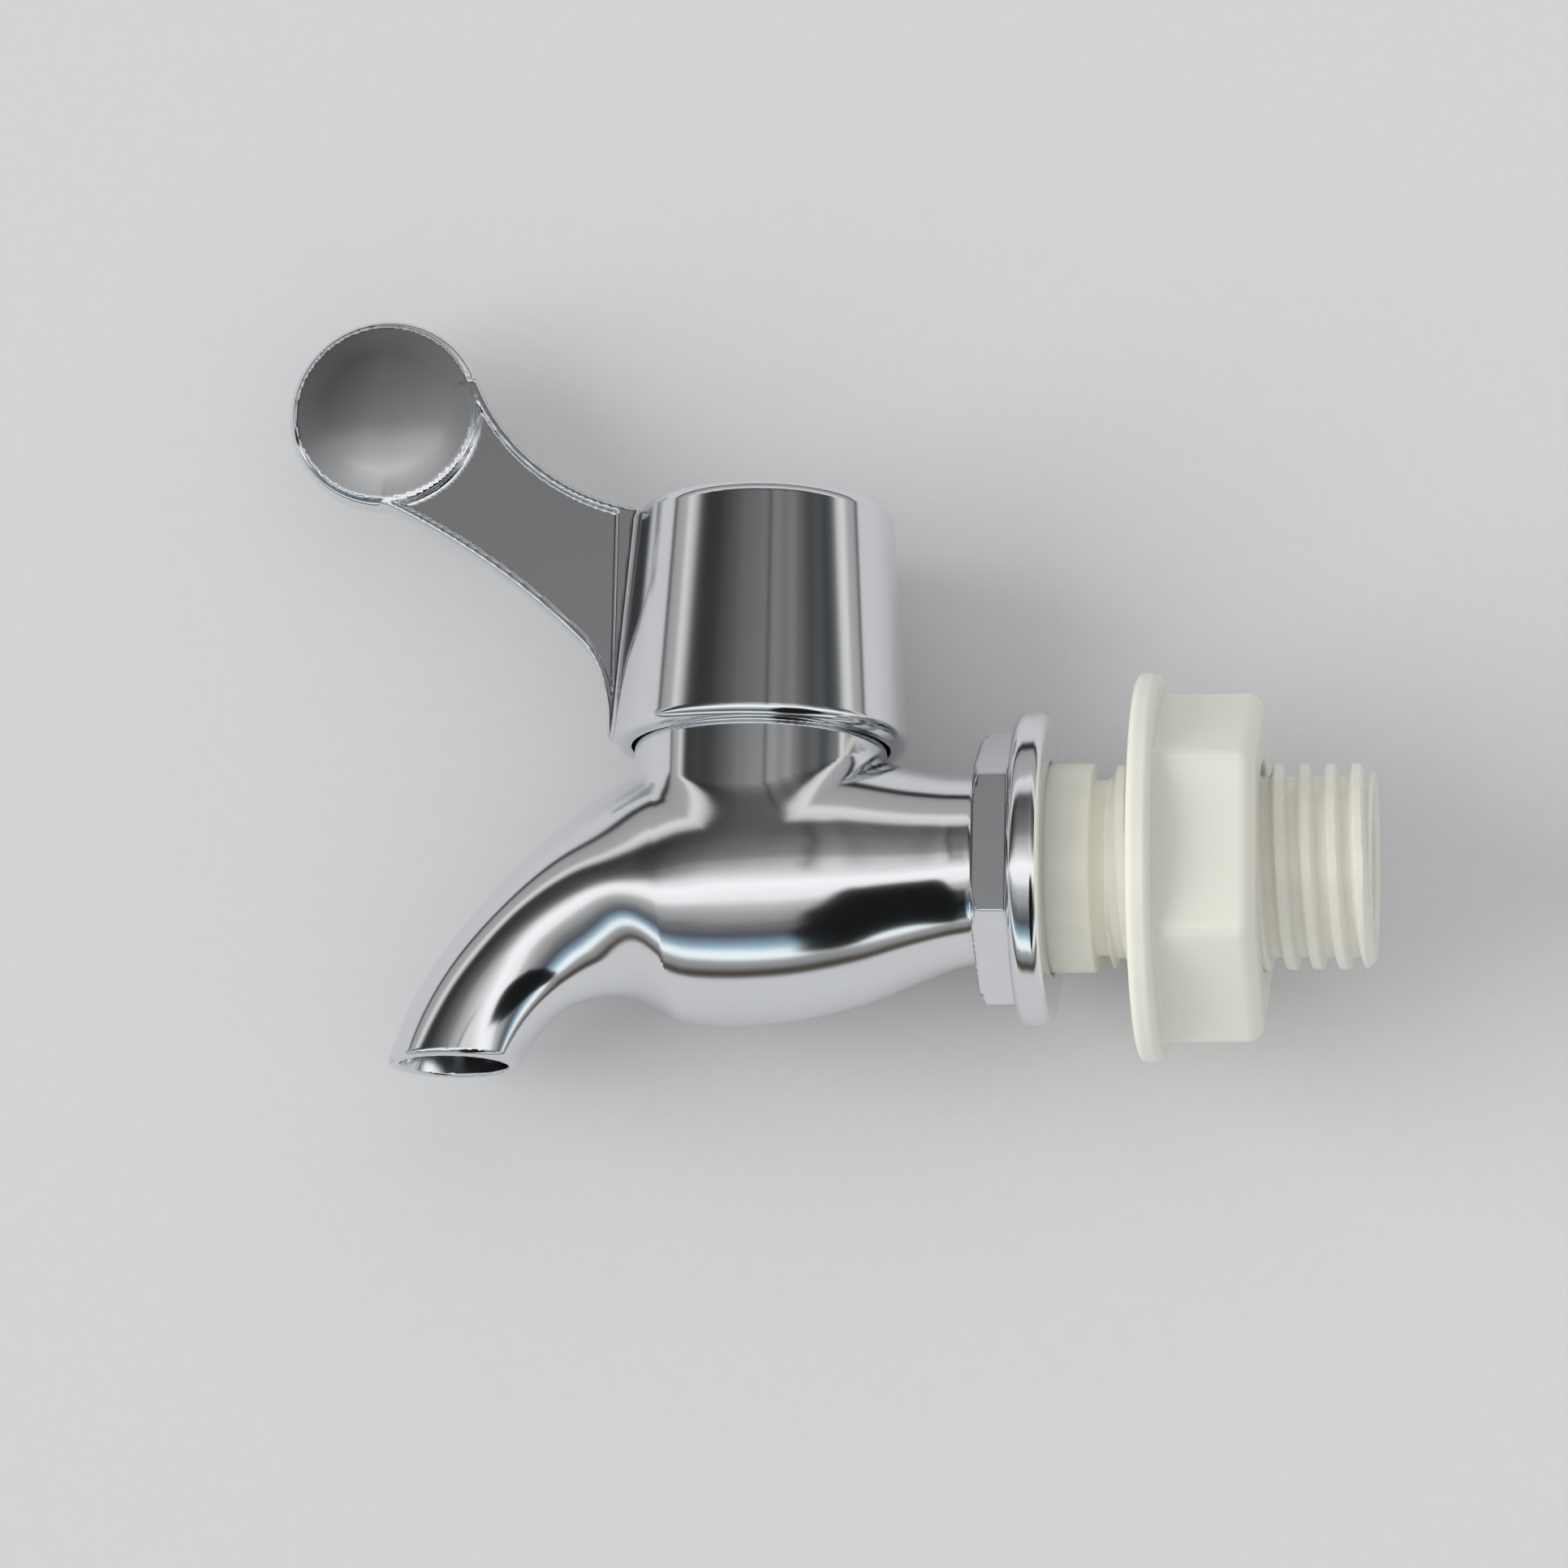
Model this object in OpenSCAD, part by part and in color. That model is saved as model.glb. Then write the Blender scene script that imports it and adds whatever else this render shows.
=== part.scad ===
// Dispenser tap: a quarter-turn lever tap on a threaded shank, for the wall of a drinks dispenser.
// The inlet axis is X, with the shank towards +X and the spout towards -X. Z is up.
// The origin is the centre of the wall flange's rear face, where the tap seats on the wall.

/* [Wall flange and collar] */
// Diameter of the round wall flange
flange_d = 24.3; // [22:0.1:28]
// Thickness of the wall flange
flange_t = 2.6; // [1.8:0.1:4]
// Rounding of the flange's rim
flange_edge_r = 0.9; // [0.3:0.1:0.9]
// Width across flats of the hexagonal spanner collar
collar_af = 18.7; // [17:0.1:20]
// Length of the spanner collar
collar_t = 2.9; // [1.5:0.1:5]
// Chamfer of the collar's corners
collar_chamfer = 0.5; // [0.2:0.1:1]

/* [Threaded shank] */
// Outer diameter of the shank's plain part
shank_d = 16.1; // [15.8:0.1:17]
// Length of the plain part behind the flange
shank_plain = 3.4; // [2:0.1:6]
// Length of the shank behind the flange
shank_len = 24.8; // [20:0.1:40]
// Outer diameter of the thread
thread_d = 15.8; // [15:0.1:15.8]
// Rise of the thread in one turn
thread_pitch = 2; // [1.5:0.25:2.5]
// Depth of the thread
thread_depth = 0.95; // [0.6:0.05:1.2]
// Depth of the shank's shoulder in the flange
shoulder_depth = 0.6; // [0.3:0.1:1.2]
// Width of the relief groove between the plain part and the thread
relief_w = 1.1; // [0.6:0.1:2]
// Lead-in chamfer at the shank's free end
shank_chamfer = 0.6; // [0.2:0.1:1]
// Bore of the shank
inlet_d = 10; // [8:0.1:11]
// Outer diameter of the spigot that the body's socket holds
spigot_d = 11.6; // [11:0.1:11.8]
// Length of the spigot inside the body
spigot_len = 12.3; // [9:0.1:13]

/* [Fixing nut] */
// Diameter of the nut's flange
nut_flange_d = 29.9; // [28:0.1:34]
// Thickness of the nut's flange
nut_flange_t = 1.85; // [1.2:0.05:3]
// Width across flats of the nut
nut_af = 23.8; // [22:0.1:26]
// Overall length of the nut, flange included
nut_len = 9.6; // [7:0.1:12]
// Distance of the nut's flange from the wall flange, the wall's thickness
wall_gap = 6.7; // [2:0.1:10]
// Rounding of the nut's six corners
nut_corner_r = 1.5; // [0.5:0.1:3]
// Rounding of the nut's rear end
nut_end_r = 1.3; // [0.5:0.1:2]
// Turn of the nut from a corner pointing up
nut_turn = 4; // [0:1:30]
// Radial clearance of the nut over the thread
nut_clearance = 0.08; // [0.04:0.01:0.1]

/* [Body and spout] */
// Distance of the valve's axis from the wall
valve_x = 22.85; // [21:0.05:26]
// Diameter of the body where it leaves the collar
body_inlet_d = 14.4; // [14.2:0.1:16]
// Diameter of the body's shoulders, before and after the valve
body_shoulder_d = 19.7; // [19:0.1:21]
// Largest diameter of the body, below the valve
body_belly_d = 21.2; // [20.6:0.1:24]
// Diameter where the spout leaves the body
spout_root_d = 14.2; // [13.6:0.1:16]
// Diameter of the spout half way down
spout_waist_d = 10.6; // [10.2:0.1:12]
// Outer diameter of the spout at its mouth
mouth_d = 9.8; // [9.6:0.1:11]
// Fall of the body's centre line from the collar to the bend, in degrees
body_fall = 4.5; // [2:0.5:8]
// Distance of the start of the bend from the wall
bend_x = 29.65; // [28:0.05:33]
// Radius of the spout's bend, on the centre line
bend_r = 18.9; // [17:0.1:22]
// Steepness of the spout at its mouth, in degrees
mouth_fall = 73.5; // [65:0.5:80]
// Rounding of the mouth's lip
mouth_lip_r = 0.5; // [0.2:0.1:0.5]
// Diameter of the outlet bore at the mouth
outlet_d = 8; // [7:0.1:8.2]
// Depth of the straight outlet bore
outlet_depth = 4; // [3:0.5:5]
// Diameter of the passage inside the spout
passage_d = 7.6; // [6:0.1:7.8]

/* [Neck and valve] */
// Outer diameter of the neck under the cap
neck_d = 19.6; // [19:0.1:19.8]
// Height of the neck's top above the inlet axis
neck_top = 13.8; // [12:0.1:14]
// Diameter of the valve chamber
chamber_d = 13; // [12:0.1:13.4]
// Depth of the chamber's floor below the inlet axis
chamber_floor = 8.6; // [7.5:0.1:9]
// Height of the valve plug's shoulder above the inlet axis
plug_top = 6.3; // [6.2:0.1:6.8]
// Diameter of the port through the valve plug
port_d = 7.8; // [6:0.1:8]
// Drop of the port's axis below the inlet axis
port_drop = 0.9; // [0:0.1:1]
// Diameter of the valve plug's stem
stem_d = 8; // [7:0.1:9]
// Number of splines on the stem
spline_count = 12; // [8:1:16]
// Depth of the splines
spline_depth = 0.5; // [0.3:0.05:0.7]
// Thickness of the O-rings as they lie squeezed in their grooves
o_ring_t = 1.1; // [0.8:0.05:1.2]
// Width that the grooves leave beside the O-rings
o_ring_play = 0.4; // [0.2:0.1:0.6]
// Thickness of the thrust washer
washer_t = 0.6; // [0.4:0.1:1]
// Diameter of the gland nut's thread in the neck
gland_d = 15.4; // [14.6:0.1:16]
// Width across flats of the gland nut's head
gland_af = 12.4; // [11:0.1:13]
// Height of the gland nut's head
gland_head = 2.6; // [2:0.1:3]
// Running clearance, per side, between parts that turn
running = 0.06; // [0.03:0.01:0.1]
// Seating clearance, per side, between parts that stay put
seating = 0.02; // [0.01:0.01:0.05]

/* [Cap and lever] */
// Outer diameter of the cap at its lower edge
cap_d = 22.9; // [22.4:0.1:24]
// Narrowing of the cap's wall per millimetre of height, on the radius
cap_draft = 0.08; // [0.03:0.01:0.1]
// Height of the cap's lower edge above the inlet axis
cap_base = 9.5; // [9.3:0.1:10.5]
// Height of the cap's top above the inlet axis
cap_top = 28.7; // [28:0.1:34]
// Rounding of the cap's lower edge
cap_lip_r = 1.1; // [0.4:0.1:1.2]
// Rounding of the cap's top edge
cap_edge_r = 1; // [0.4:0.1:2]
// Thickness of the cap's roof
cap_roof = 1.6; // [1.2:0.1:3]
// Thickness of the cap's wall
cap_wall = 2; // [1.5:0.1:3]
// Distance of the paddle's centre from the wall
paddle_x = 53.2; // [51:0.1:58]
// Height of the paddle's centre above the inlet axis
paddle_z = 36.9; // [36:0.1:40]
// Diameter of the round paddle
paddle_d = 15.4; // [14:0.1:18]
// Rounding of the paddle's edge
paddle_edge_r = 0.9; // [0.5:0.1:1.1]
// Thickness of the lever's rim
lever_t = 2.6; // [2.2:0.1:4]
// Height of the paddle's domed faces above the rim
dome_h = 0.6; // [0.2:0.1:1]
// Width of the raised rim round the web
rim_w = 0.65; // [0.5:0.05:1.2]
// Depth of the recessed web, on each face
web_recess = 0.45; // [0.2:0.05:0.6]
// Rounding of the rim's edges
rim_edge_r = 0.3; // [0.1:0.05:0.3]
// Radius of the lever's upper edge
lever_upper_r = 17.5; // [15:0.5:22]
// Radius of the lever's lower edge
lever_lower_r = 60; // [45:1:90]
// Height where the lever's lower edge reaches the cap
lever_root_z = 15.6; // [15:0.1:19]
// Rounding where the lever's lower edge turns down to the cap
lever_root_r = 2.2; // [1:0.1:3]
// How far the lever's root stands out from the cap's lower edge
root_proud = 0.5; // [0.3:0.05:1]
// Turn of the lever between closed and open, in degrees
lever_travel = 90; // [60:5:110]

/* [Hidden] */

chrome = [0.80, 0.81, 0.83];
natural_plastic = [0.88, 0.87, 0.80];
bearing_plastic = [0.93, 0.93, 0.90];
black_rubber = [0.12, 0.12, 0.13];
clear_rubber = [0.80, 0.78, 0.72];
brass = [0.78, 0.63, 0.32];

round_fn = 64;
skin_sides = 40;
skin_step = 1;
skin_lead = 1.5;
thread_sides = 30;
arc_steps = 8;
overlap = 0.01;
past = 1;

collar_face = flange_t + collar_t;
thread_start = shank_plain + relief_w;
thread_root_r = thread_d / 2 - thread_depth;
relief_r = thread_root_r - 0.2;
nut_bore_r = thread_d / 2 + nut_clearance;
chamber_r = chamber_d / 2;
plug_r = chamber_r - running;
neck_bore_r = gland_d / 2;
stem_top = cap_top - cap_roof - 1;
spline_base = neck_top + gland_head + 1;
spline_r = stem_d / 2 - 0.15;
stop_h = 1.6;
stop_half = 8;
stop_gap = 1.5;
stop_inner_r = neck_bore_r + 0.4;
cap_r = cap_d / 2;
skirt_r = neck_d / 2 + 0.2;
skirt_top = neck_top + stop_h + 0.3;
boss_r = stem_d / 2 + 1.6;
lever_half = lever_t / 2;
web_end = 0.3;

// Smooth curve through a list of [place, value] stations, level at both ends
function rise_at(st, i) =
  i == 0 || i == len(st) - 1 ? 0 : (st[i + 1][1] - st[i - 1][1]) / (st[i + 1][0] - st[i - 1][0]);
function span_of(st, s, i = 0) = i >= len(st) - 2 || s < st[i + 1][0] ? i : span_of(st, s, i + 1);
function blend(t, w, a, b, rise_a, rise_b) =
  (2 * pow(t, 3) - 3 * pow(t, 2) + 1) * a + (pow(t, 3) - 2 * pow(t, 2) + t) * w * rise_a
  + (3 * pow(t, 2) - 2 * pow(t, 3)) * b + (pow(t, 3) - pow(t, 2)) * w * rise_b;
function value_at(st, at) =
  let (s = max(at, st[0][0]), i = span_of(st, s), w = st[i + 1][0] - st[i][0], t = (s - st[i][0]) / w)
  blend(t, w, st[i][1], st[i + 1][1], rise_at(st, i), rise_at(st, i + 1));

// The body's centre line: a straight fall from the collar, then a bend down to the mouth
straight_len = (bend_x - collar_face) / cos(body_fall);
bend_len = bend_r * (mouth_fall - body_fall) * PI / 180;
skin_len = straight_len + bend_len;
bend_z = -straight_len * sin(body_fall);
function fall_at(s) = s < straight_len ? body_fall : body_fall + (s - straight_len) / bend_r * 180 / PI;
function centre_at(s) =
  s < straight_len
    ? [-collar_face - s * cos(body_fall), 0, -s * sin(body_fall)]
    : [
        -bend_x - bend_r * (sin(fall_at(s)) - sin(body_fall)), 0,
        bend_z - bend_r * (cos(body_fall) - cos(fall_at(s)))
      ];

// The body's radius along its centre line, from the collar past the valve to the mouth
valve_s = (valve_x - collar_face) / cos(body_fall);
shoulder_s = 7;
root_s = 13;
waist_s = 19;
slim_s = 24;
body_stations = [
  [0, body_inlet_d / 2], [valve_s - shoulder_s, body_shoulder_d / 2], [valve_s, body_belly_d / 2],
  [valve_s + shoulder_s, body_shoulder_d / 2], [valve_s + root_s, spout_root_d / 2],
  [valve_s + waist_s, spout_waist_d / 2], [valve_s + slim_s, mouth_d / 2], [skin_len, mouth_d / 2]
];

// The last rings lean over until the mouth is level, and draw in to round its lip
lean_len = 6;
function lean_at(s) =
  s < skin_len - lean_len ? 0 : (90 - mouth_fall) * pow((s - skin_len + lean_len) / lean_len, 2);
function lip_inset(s) =
  s < skin_len - mouth_lip_r
    ? 0
    : mouth_lip_r - sqrt(max(0, pow(mouth_lip_r, 2) - pow(s - skin_len + mouth_lip_r, 2)));
function skin_ring(s) =
  let (
    r = value_at(body_stations, s) - lip_inset(s), lean = lean_at(s), a = fall_at(s) + lean,
    c = centre_at(s), wide = r / cos(lean)
  )
  [
    for (k = [0 : skin_sides - 1])
      let (t = 360 * k / skin_sides)
      c + [-sin(a) * wide * cos(t), r * sin(t), cos(a) * wide * cos(t)]
  ];
lip_steps = 4;
skin_rows = floor((skin_len - mouth_lip_r) / skin_step);
skin_places = concat(
  [-skin_lead],
  [for (i = [0 : skin_rows - 1]) i * (skin_len - mouth_lip_r) / skin_rows],
  [for (i = [0 : lip_steps]) skin_len - mouth_lip_r + mouth_lip_r * sin(90 * i / lip_steps)]
);

// A closed solid through rings of as many points each; its ends are closed by strips across the ring
module skin(rings) {
  n = len(rings[0]);
  last = len(rings) - 1;
  sides = [
    for (i = [0 : last - 1], k = [0 : n - 1])
      [i * n + k, (i + 1) * n + k, (i + 1) * n + (k + 1) % n, i * n + (k + 1) % n]
  ];
  first_end = [for (k = [0 : n / 2 - 2]) [k, k + 1, n - 2 - k, n - 1 - k]];
  last_end = [for (face = first_end) [for (j = [3 : -1 : 0]) last * n + face[j]]];
  polyhedron(points = [for (ring = rings, p = ring) p], faces = concat(sides, first_end, last_end));
}

module along_x(x, r, length) {
  translate([x, 0, 0]) rotate([0, 90, 0]) cylinder(r = r, h = length, $fn = round_fn);
}

module upright(z, r, height) {
  translate([-valve_x, 0, z]) cylinder(r = r, h = height, $fn = round_fn);
}

// A round bar along X, turned from a profile of [x, radius] points
module turned(profile) {
  rotate([0, 90, 0]) rotate([0, 0, 180])
    rotate_extrude($fn = round_fn) polygon([for (p = profile) [p[1], p[0]]]);
}

function arc(c, r, from, to, steps = arc_steps) =
  [for (i = [0 : steps]) let (a = from + (to - from) * i / steps) c + r * [cos(a), sin(a)]];

module hex_bar(across_flats, length) {
  cylinder(d = across_flats / cos(30), h = length, $fn = 6);
}

// Chrome body: spout, valve chamber, neck, spanner collar and wall flange in one moulding
module wall_flange() {
  r = flange_d / 2;
  e = flange_edge_r;
  turned(concat(
    [[0, 0]],
    arc([-e, r - e], e, 0, 90),
    arc([-flange_t + e, r - e], e, 90, 180),
    [[-flange_t, 0]]
  ));
}

module spanner_collar() {
  corner = collar_af / cos(30) / 2;
  intersection() {
    translate([-collar_face, 0, 0]) rotate([0, 90, 0]) hex_bar(collar_af, collar_t + flange_t / 2);
    turned([
      [0, 0], [0, corner + past], [-collar_face + collar_chamfer, corner + past],
      [-collar_face + collar_chamfer, corner], [-collar_face, corner - collar_chamfer * 2], [-collar_face, 0]
    ]);
  }
}

// The stop: a raised rim on the neck leaves a window in which a rib inside the cap turns
stop_window = lever_travel + 2 * (stop_half + stop_gap);

module stop_lug(inner_r, outer_r, z, height, middle, half) {
  translate([-valve_x, 0, z]) rotate([0, 0, middle - half]) rotate_extrude(angle = 2 * half, $fn = round_fn)
    translate([inner_r, 0]) square([outer_r - inner_r, height]);
}

passage_lead = 10;

module outlet_passage() {
  mouth = centre_at(skin_len);
  translate([-bend_x + bend_r * sin(body_fall), 0, bend_z - bend_r * cos(body_fall)])
    rotate([90, 0, 0]) rotate([0, 0, 90 + body_fall - passage_lead])
      rotate_extrude(angle = mouth_fall - body_fall + passage_lead, $fn = 96)
        translate([bend_r, 0]) circle(d = passage_d, $fn = 48);
  translate(mouth) rotate([0, 90 - mouth_fall, 0]) translate([0, 0, -past * 3])
    cylinder(d = outlet_d, h = past * 3 + outlet_depth, $fn = round_fn);
}

module tap_body() {
  color(chrome) difference() {
    union() {
      skin([for (s = skin_places) skin_ring(s)]);
      upright(0, neck_d / 2, neck_top);
      stop_lug(stop_inner_r, neck_d / 2, neck_top - overlap, stop_h, 180 + lever_travel / 2, 180 - stop_window / 2);
      spanner_collar();
      wall_flange();
    }
    along_x(-shoulder_depth, shank_d / 2 + seating, shoulder_depth + past);
    along_x(-spigot_len, spigot_d / 2 + seating, spigot_len + past);
    along_x(-valve_x, spigot_d / 2 + seating, valve_x - spigot_len + overlap);
    upright(-chamber_floor, chamber_r, chamber_floor + plug_top + overlap);
    upright(plug_top, neck_bore_r + seating, neck_top + stop_h - plug_top + past);
    outlet_passage();
  }
}

// Threaded shank: plain part, relief groove and screw thread, with the spigot that enters the body
thread_flat = thread_pitch / 4;
thread_profile = [
  [0, thread_root_r], [thread_flat, thread_root_r], [2 * thread_flat, thread_d / 2],
  [3 * thread_flat, thread_d / 2]
];
thread_turns = ceil((shank_len - thread_start) / thread_pitch) + 3;
thread_lead = 2.34;
thread_phase = 40;

module screw_rod(x_start) {
  n = thread_sides;
  m = len(thread_profile);
  rows = n * thread_turns;
  function at(i, j) = i * m + j;
  points = [
    for (i = [0 : rows + n], j = [0 : m - 1])
      let (a = 360 * i / n + thread_phase, r = thread_profile[j][1])
      [x_start + thread_pitch * i / n + thread_profile[j][0], r * cos(a), r * sin(a)]
  ];
  first = len(points);
  middles = [[x_start, 0, 0], [x_start + thread_pitch * (thread_turns + 1), 0, 0]];
  flanks = [for (i = [0 : rows - 1], j = [0 : m - 2]) [at(i, j), at(i, j + 1), at(i + 1, j + 1), at(i + 1, j)]];
  roots = [for (i = [0 : rows - 1]) [at(i, m - 1), at(i + n, 0), at(i + n + 1, 0), at(i + 1, m - 1)]];
  start_loop = concat([for (i = [0 : n]) at(i, 0)], [for (j = [m - 1 : -1 : 1]) at(0, j)]);
  end_loop = concat([for (i = [rows : rows + n]) at(i, 0)], [for (j = [m - 1 : -1 : 1]) at(rows, j)]);
  start_fan = [for (k = [0 : len(start_loop) - 1]) [first, start_loop[k], start_loop[(k + 1) % len(start_loop)]]];
  end_fan = [for (k = [0 : len(end_loop) - 1]) [first + 1, end_loop[(k + 1) % len(end_loop)], end_loop[k]]];
  polyhedron(points = concat(points, middles), faces = concat(flanks, roots, start_fan, end_fan));
}

module thread() {
  lead_in = shank_chamfer + past;
  intersection() {
    screw_rod(thread_start - thread_lead * thread_pitch);
    turned([
      [thread_start, 0], [thread_start, thread_d], [shank_len - lead_in, thread_d],
      [shank_len - lead_in, thread_d / 2 + past], [shank_len, thread_d / 2 - shank_chamfer], [shank_len, 0]
    ]);
  }
}

groove_w = o_ring_t + o_ring_play;
shank_ring_x = -spigot_len / 2;
shank_groove_r = spigot_d / 2 - o_ring_t - seating;

module threaded_shank() {
  color(natural_plastic) difference() {
    union() {
      turned([
        [-spigot_len, 0], [-spigot_len, spigot_d / 2], [seating - shoulder_depth, spigot_d / 2],
        [seating - shoulder_depth, shank_d / 2],
        [shank_plain, shank_d / 2], [shank_plain, relief_r], [thread_start + past, relief_r],
        [thread_start + past, 0]
      ]);
      thread();
    }
    along_x(-spigot_len - past, port_d / 2, spigot_len + 2 * past);
    along_x(0, inlet_d / 2, shank_len + past);
    translate([shank_ring_x - groove_w / 2, 0, 0]) rotate([0, 90, 0]) difference() {
      cylinder(d = spigot_d + past, h = groove_w, $fn = round_fn);
      cylinder(r = shank_groove_r, h = groove_w, $fn = round_fn);
    }
  }
}

module shank_o_ring() {
  color(black_rubber) translate([shank_ring_x, 0, 0]) rotate([0, 90, 0])
    rotate_extrude($fn = round_fn) translate([(spigot_d - o_ring_t) / 2, 0]) circle(d = o_ring_t, $fn = 24);
}

// Inlet seal: a ring that the spigot's end presses on the valve plug
module inlet_seal() {
  reach = spigot_len + seating;
  color(clear_rubber) difference() {
    along_x(-valve_x, spigot_d / 2, valve_x - reach);
    upright(-chamber_d, plug_r + running, 2 * chamber_d);
    along_x(-valve_x - past, port_d / 2, valve_x);
  }
}

// Valve plug: a rotor with a cross port, two ring grooves and a splined stem
upper_groove_z = plug_top - 1.5;
lower_groove_z = -chamber_floor + 1.9;
plug_groove_r = chamber_r - o_ring_t - 2 * seating;
plug_floor = -chamber_floor + 0.1;

spline_tip = 0.14;
spline_foot = 0.3;

module spline_bar(r, z, height) {
  step = 360 / spline_count;
  points = [
    for (i = [0 : spline_count - 1], side = [-spline_foot, -spline_tip, spline_tip, spline_foot])
      let (a = (i + side) * step, q = abs(side) == spline_foot ? r - spline_depth : r)
      q * [cos(a), sin(a)]
  ];
  translate([-valve_x, 0, z]) linear_extrude(height) polygon(points);
}

module ring_groove(z) {
  translate([-valve_x, 0, z - groove_w / 2]) difference() {
    cylinder(r = plug_r + past, h = groove_w, $fn = round_fn);
    cylinder(r = plug_groove_r, h = groove_w, $fn = round_fn);
  }
}

module valve_plug() {
  color(bearing_plastic) difference() {
    union() {
      upright(plug_floor, plug_r, plug_top - plug_floor);
      upright(plug_top - overlap, stem_d / 2, spline_base - plug_top + overlap);
      spline_bar(spline_r, spline_base - overlap, stem_top - spline_base);
    }
    translate([-valve_x, 0, -port_drop]) rotate([90, 0, 0])
      cylinder(d = port_d, h = chamber_d + past, center = true, $fn = round_fn);
    ring_groove(upper_groove_z);
    ring_groove(lower_groove_z);
  }
}

module plug_ring(z) {
  color(black_rubber) translate([-valve_x, 0, z]) rotate_extrude($fn = round_fn)
    translate([chamber_r - seating - o_ring_t / 2, 0]) circle(d = o_ring_t, $fn = 24);
}

module plug_o_ring_upper() {
  plug_ring(upper_groove_z);
}

module plug_o_ring_lower() {
  plug_ring(lower_groove_z);
}

// Thrust washer between the plug's shoulder and the gland nut
module thrust_washer() {
  color(bearing_plastic) difference() {
    upright(plug_top + seating, neck_bore_r - 0.2, washer_t);
    upright(plug_top - past, stem_d / 2 + running, washer_t + 2 * past);
  }
}

// Gland nut, screwed into the neck to hold the plug down
module gland_nut() {
  base = plug_top + washer_t + 2 * seating;
  color(brass) difference() {
    union() {
      upright(base, neck_bore_r, neck_top - base);
      translate([-valve_x, 0, neck_top - overlap]) hex_bar(gland_af, gland_head);
    }
    upright(base - past, stem_d / 2 + running, neck_top + gland_head - base + 2 * past);
  }
}

// Lever handle: cap, arm and round paddle in one moulding
function wall_r(z) = cap_r - cap_draft * (z - cap_base - cap_lip_r);

module cap_shell() {
  lip = cap_lip_r;
  e = cap_edge_r;
  top_r = wall_r(cap_top - e);
  translate([-valve_x, 0, 0]) rotate_extrude($fn = round_fn) polygon(concat(
    [[0, cap_top], [0, cap_base]],
    arc([cap_r - lip, cap_base + lip], lip, -90, 0),
    arc([top_r - e, cap_top - e], e, 0, 90)
  ));
}

module cap_hollow() {
  crown_base = skirt_top;
  crown_top = cap_top - cap_roof;
  upright(cap_base - past, skirt_r, crown_base - cap_base + past);
  translate([-valve_x, 0, crown_base - overlap]) difference() {
    cylinder(
      r1 = wall_r(crown_base) - cap_wall, r2 = wall_r(crown_top) - cap_wall,
      h = crown_top - crown_base, $fn = round_fn
    );
    translate([0, 0, spline_base - crown_base + 0.3]) cylinder(r = boss_r, h = crown_top, $fn = round_fn);
  }
}

// The arm's outline in the XZ plane, drawn in from its edge by an inset
paddle_r = paddle_d / 2;
paddle_at = [-paddle_x, paddle_z];
root_x = -valve_x - cap_r - root_proud;
bury = 0.1;
upper_z = cap_top - bury + lever_upper_r;
upper_at = [-paddle_x + sqrt(pow(paddle_r + lever_upper_r, 2) - pow(upper_z - paddle_z, 2)), upper_z];
lower_from = [-paddle_x + 0.6, paddle_z - paddle_r];
lower_to = [root_x, lever_root_z];
lower_run = lower_to - lower_from;
lower_at = (lower_from + lower_to) / 2
  + [lower_run[1], -lower_run[0]] / norm(lower_run) * sqrt(pow(lever_lower_r, 2) - pow(norm(lower_run) / 2, 2));
root_at = [
  root_x - lever_root_r,
  lower_at[1] + sqrt(pow(lever_lower_r - lever_root_r, 2) - pow(root_x - lever_root_r - lower_at[0], 2))
];
function bearing(from, to) = atan2(to[1] - from[1], to[0] - from[0]);
upper_steps = 14;
lower_steps = 9;
root_steps = 4;
function upper_edge(inset) = concat(
  [paddle_at + [0, 1]],
  arc(upper_at, lever_upper_r + inset, bearing(upper_at, paddle_at), -90, upper_steps),
  [[-valve_x, cap_top - bury - inset]]
);
function root_arc(inset) = arc(root_at, lever_root_r + inset, bearing(lower_at, root_at), 0, root_steps);
function lower_edge(inset) = concat(
  [paddle_at - [0, 1]],
  arc(lower_at, lever_lower_r + inset, bearing(lower_at, lower_from), bearing(lower_at, root_at), lower_steps),
  [for (i = [1 : root_steps]) root_arc(inset)[i]],
  [[root_x + inset, cap_base + cap_lip_r], [-valve_x, cap_base + cap_lip_r]]
);
function arm_outline(inset) =
  let (lower = lower_edge(inset))
  concat(upper_edge(inset), [for (i = [len(lower) - 1 : -1 : 0]) lower[i]]);

function flat_ring(outline, y) = [for (p = outline) [p[0], y, p[1]]];

module arm_plate() {
  e = rim_edge_r;
  bead = [for (a = [0 : 30 : 90]) [lever_half - e * (1 - cos(a)), e * (1 - sin(a))]];
  layers = concat([for (b = bead) [-b[0], b[1]]], [for (i = [len(bead) - 1 : -1 : 0]) bead[i]]);
  skin([for (layer = layers) flat_ring(arm_outline(layer[1]), layer[0])]);
}

module web_pocket(side) {
  depth = web_recess + past;
  floor_y = lever_half - web_recess;
  translate([0, side > 0 ? floor_y + depth : -floor_y, 0]) rotate([90, 0, 0])
    linear_extrude(depth) difference() {
      polygon([
        paddle_at, upper_at, [root_x + web_end, cap_top + past], [root_x + web_end, lever_root_z - past],
        lower_to - [lever_root_r, lever_root_r], lower_from
      ]);
      translate(upper_at) circle(r = lever_upper_r + rim_w, $fn = round_fn * 2);
      translate(lower_at) circle(r = lever_lower_r + rim_w, $fn = round_fn * 4);
      translate(root_at) circle(r = lever_root_r + rim_w, $fn = round_fn);
      translate(paddle_at) circle(r = paddle_r, $fn = round_fn);
    }
}

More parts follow.
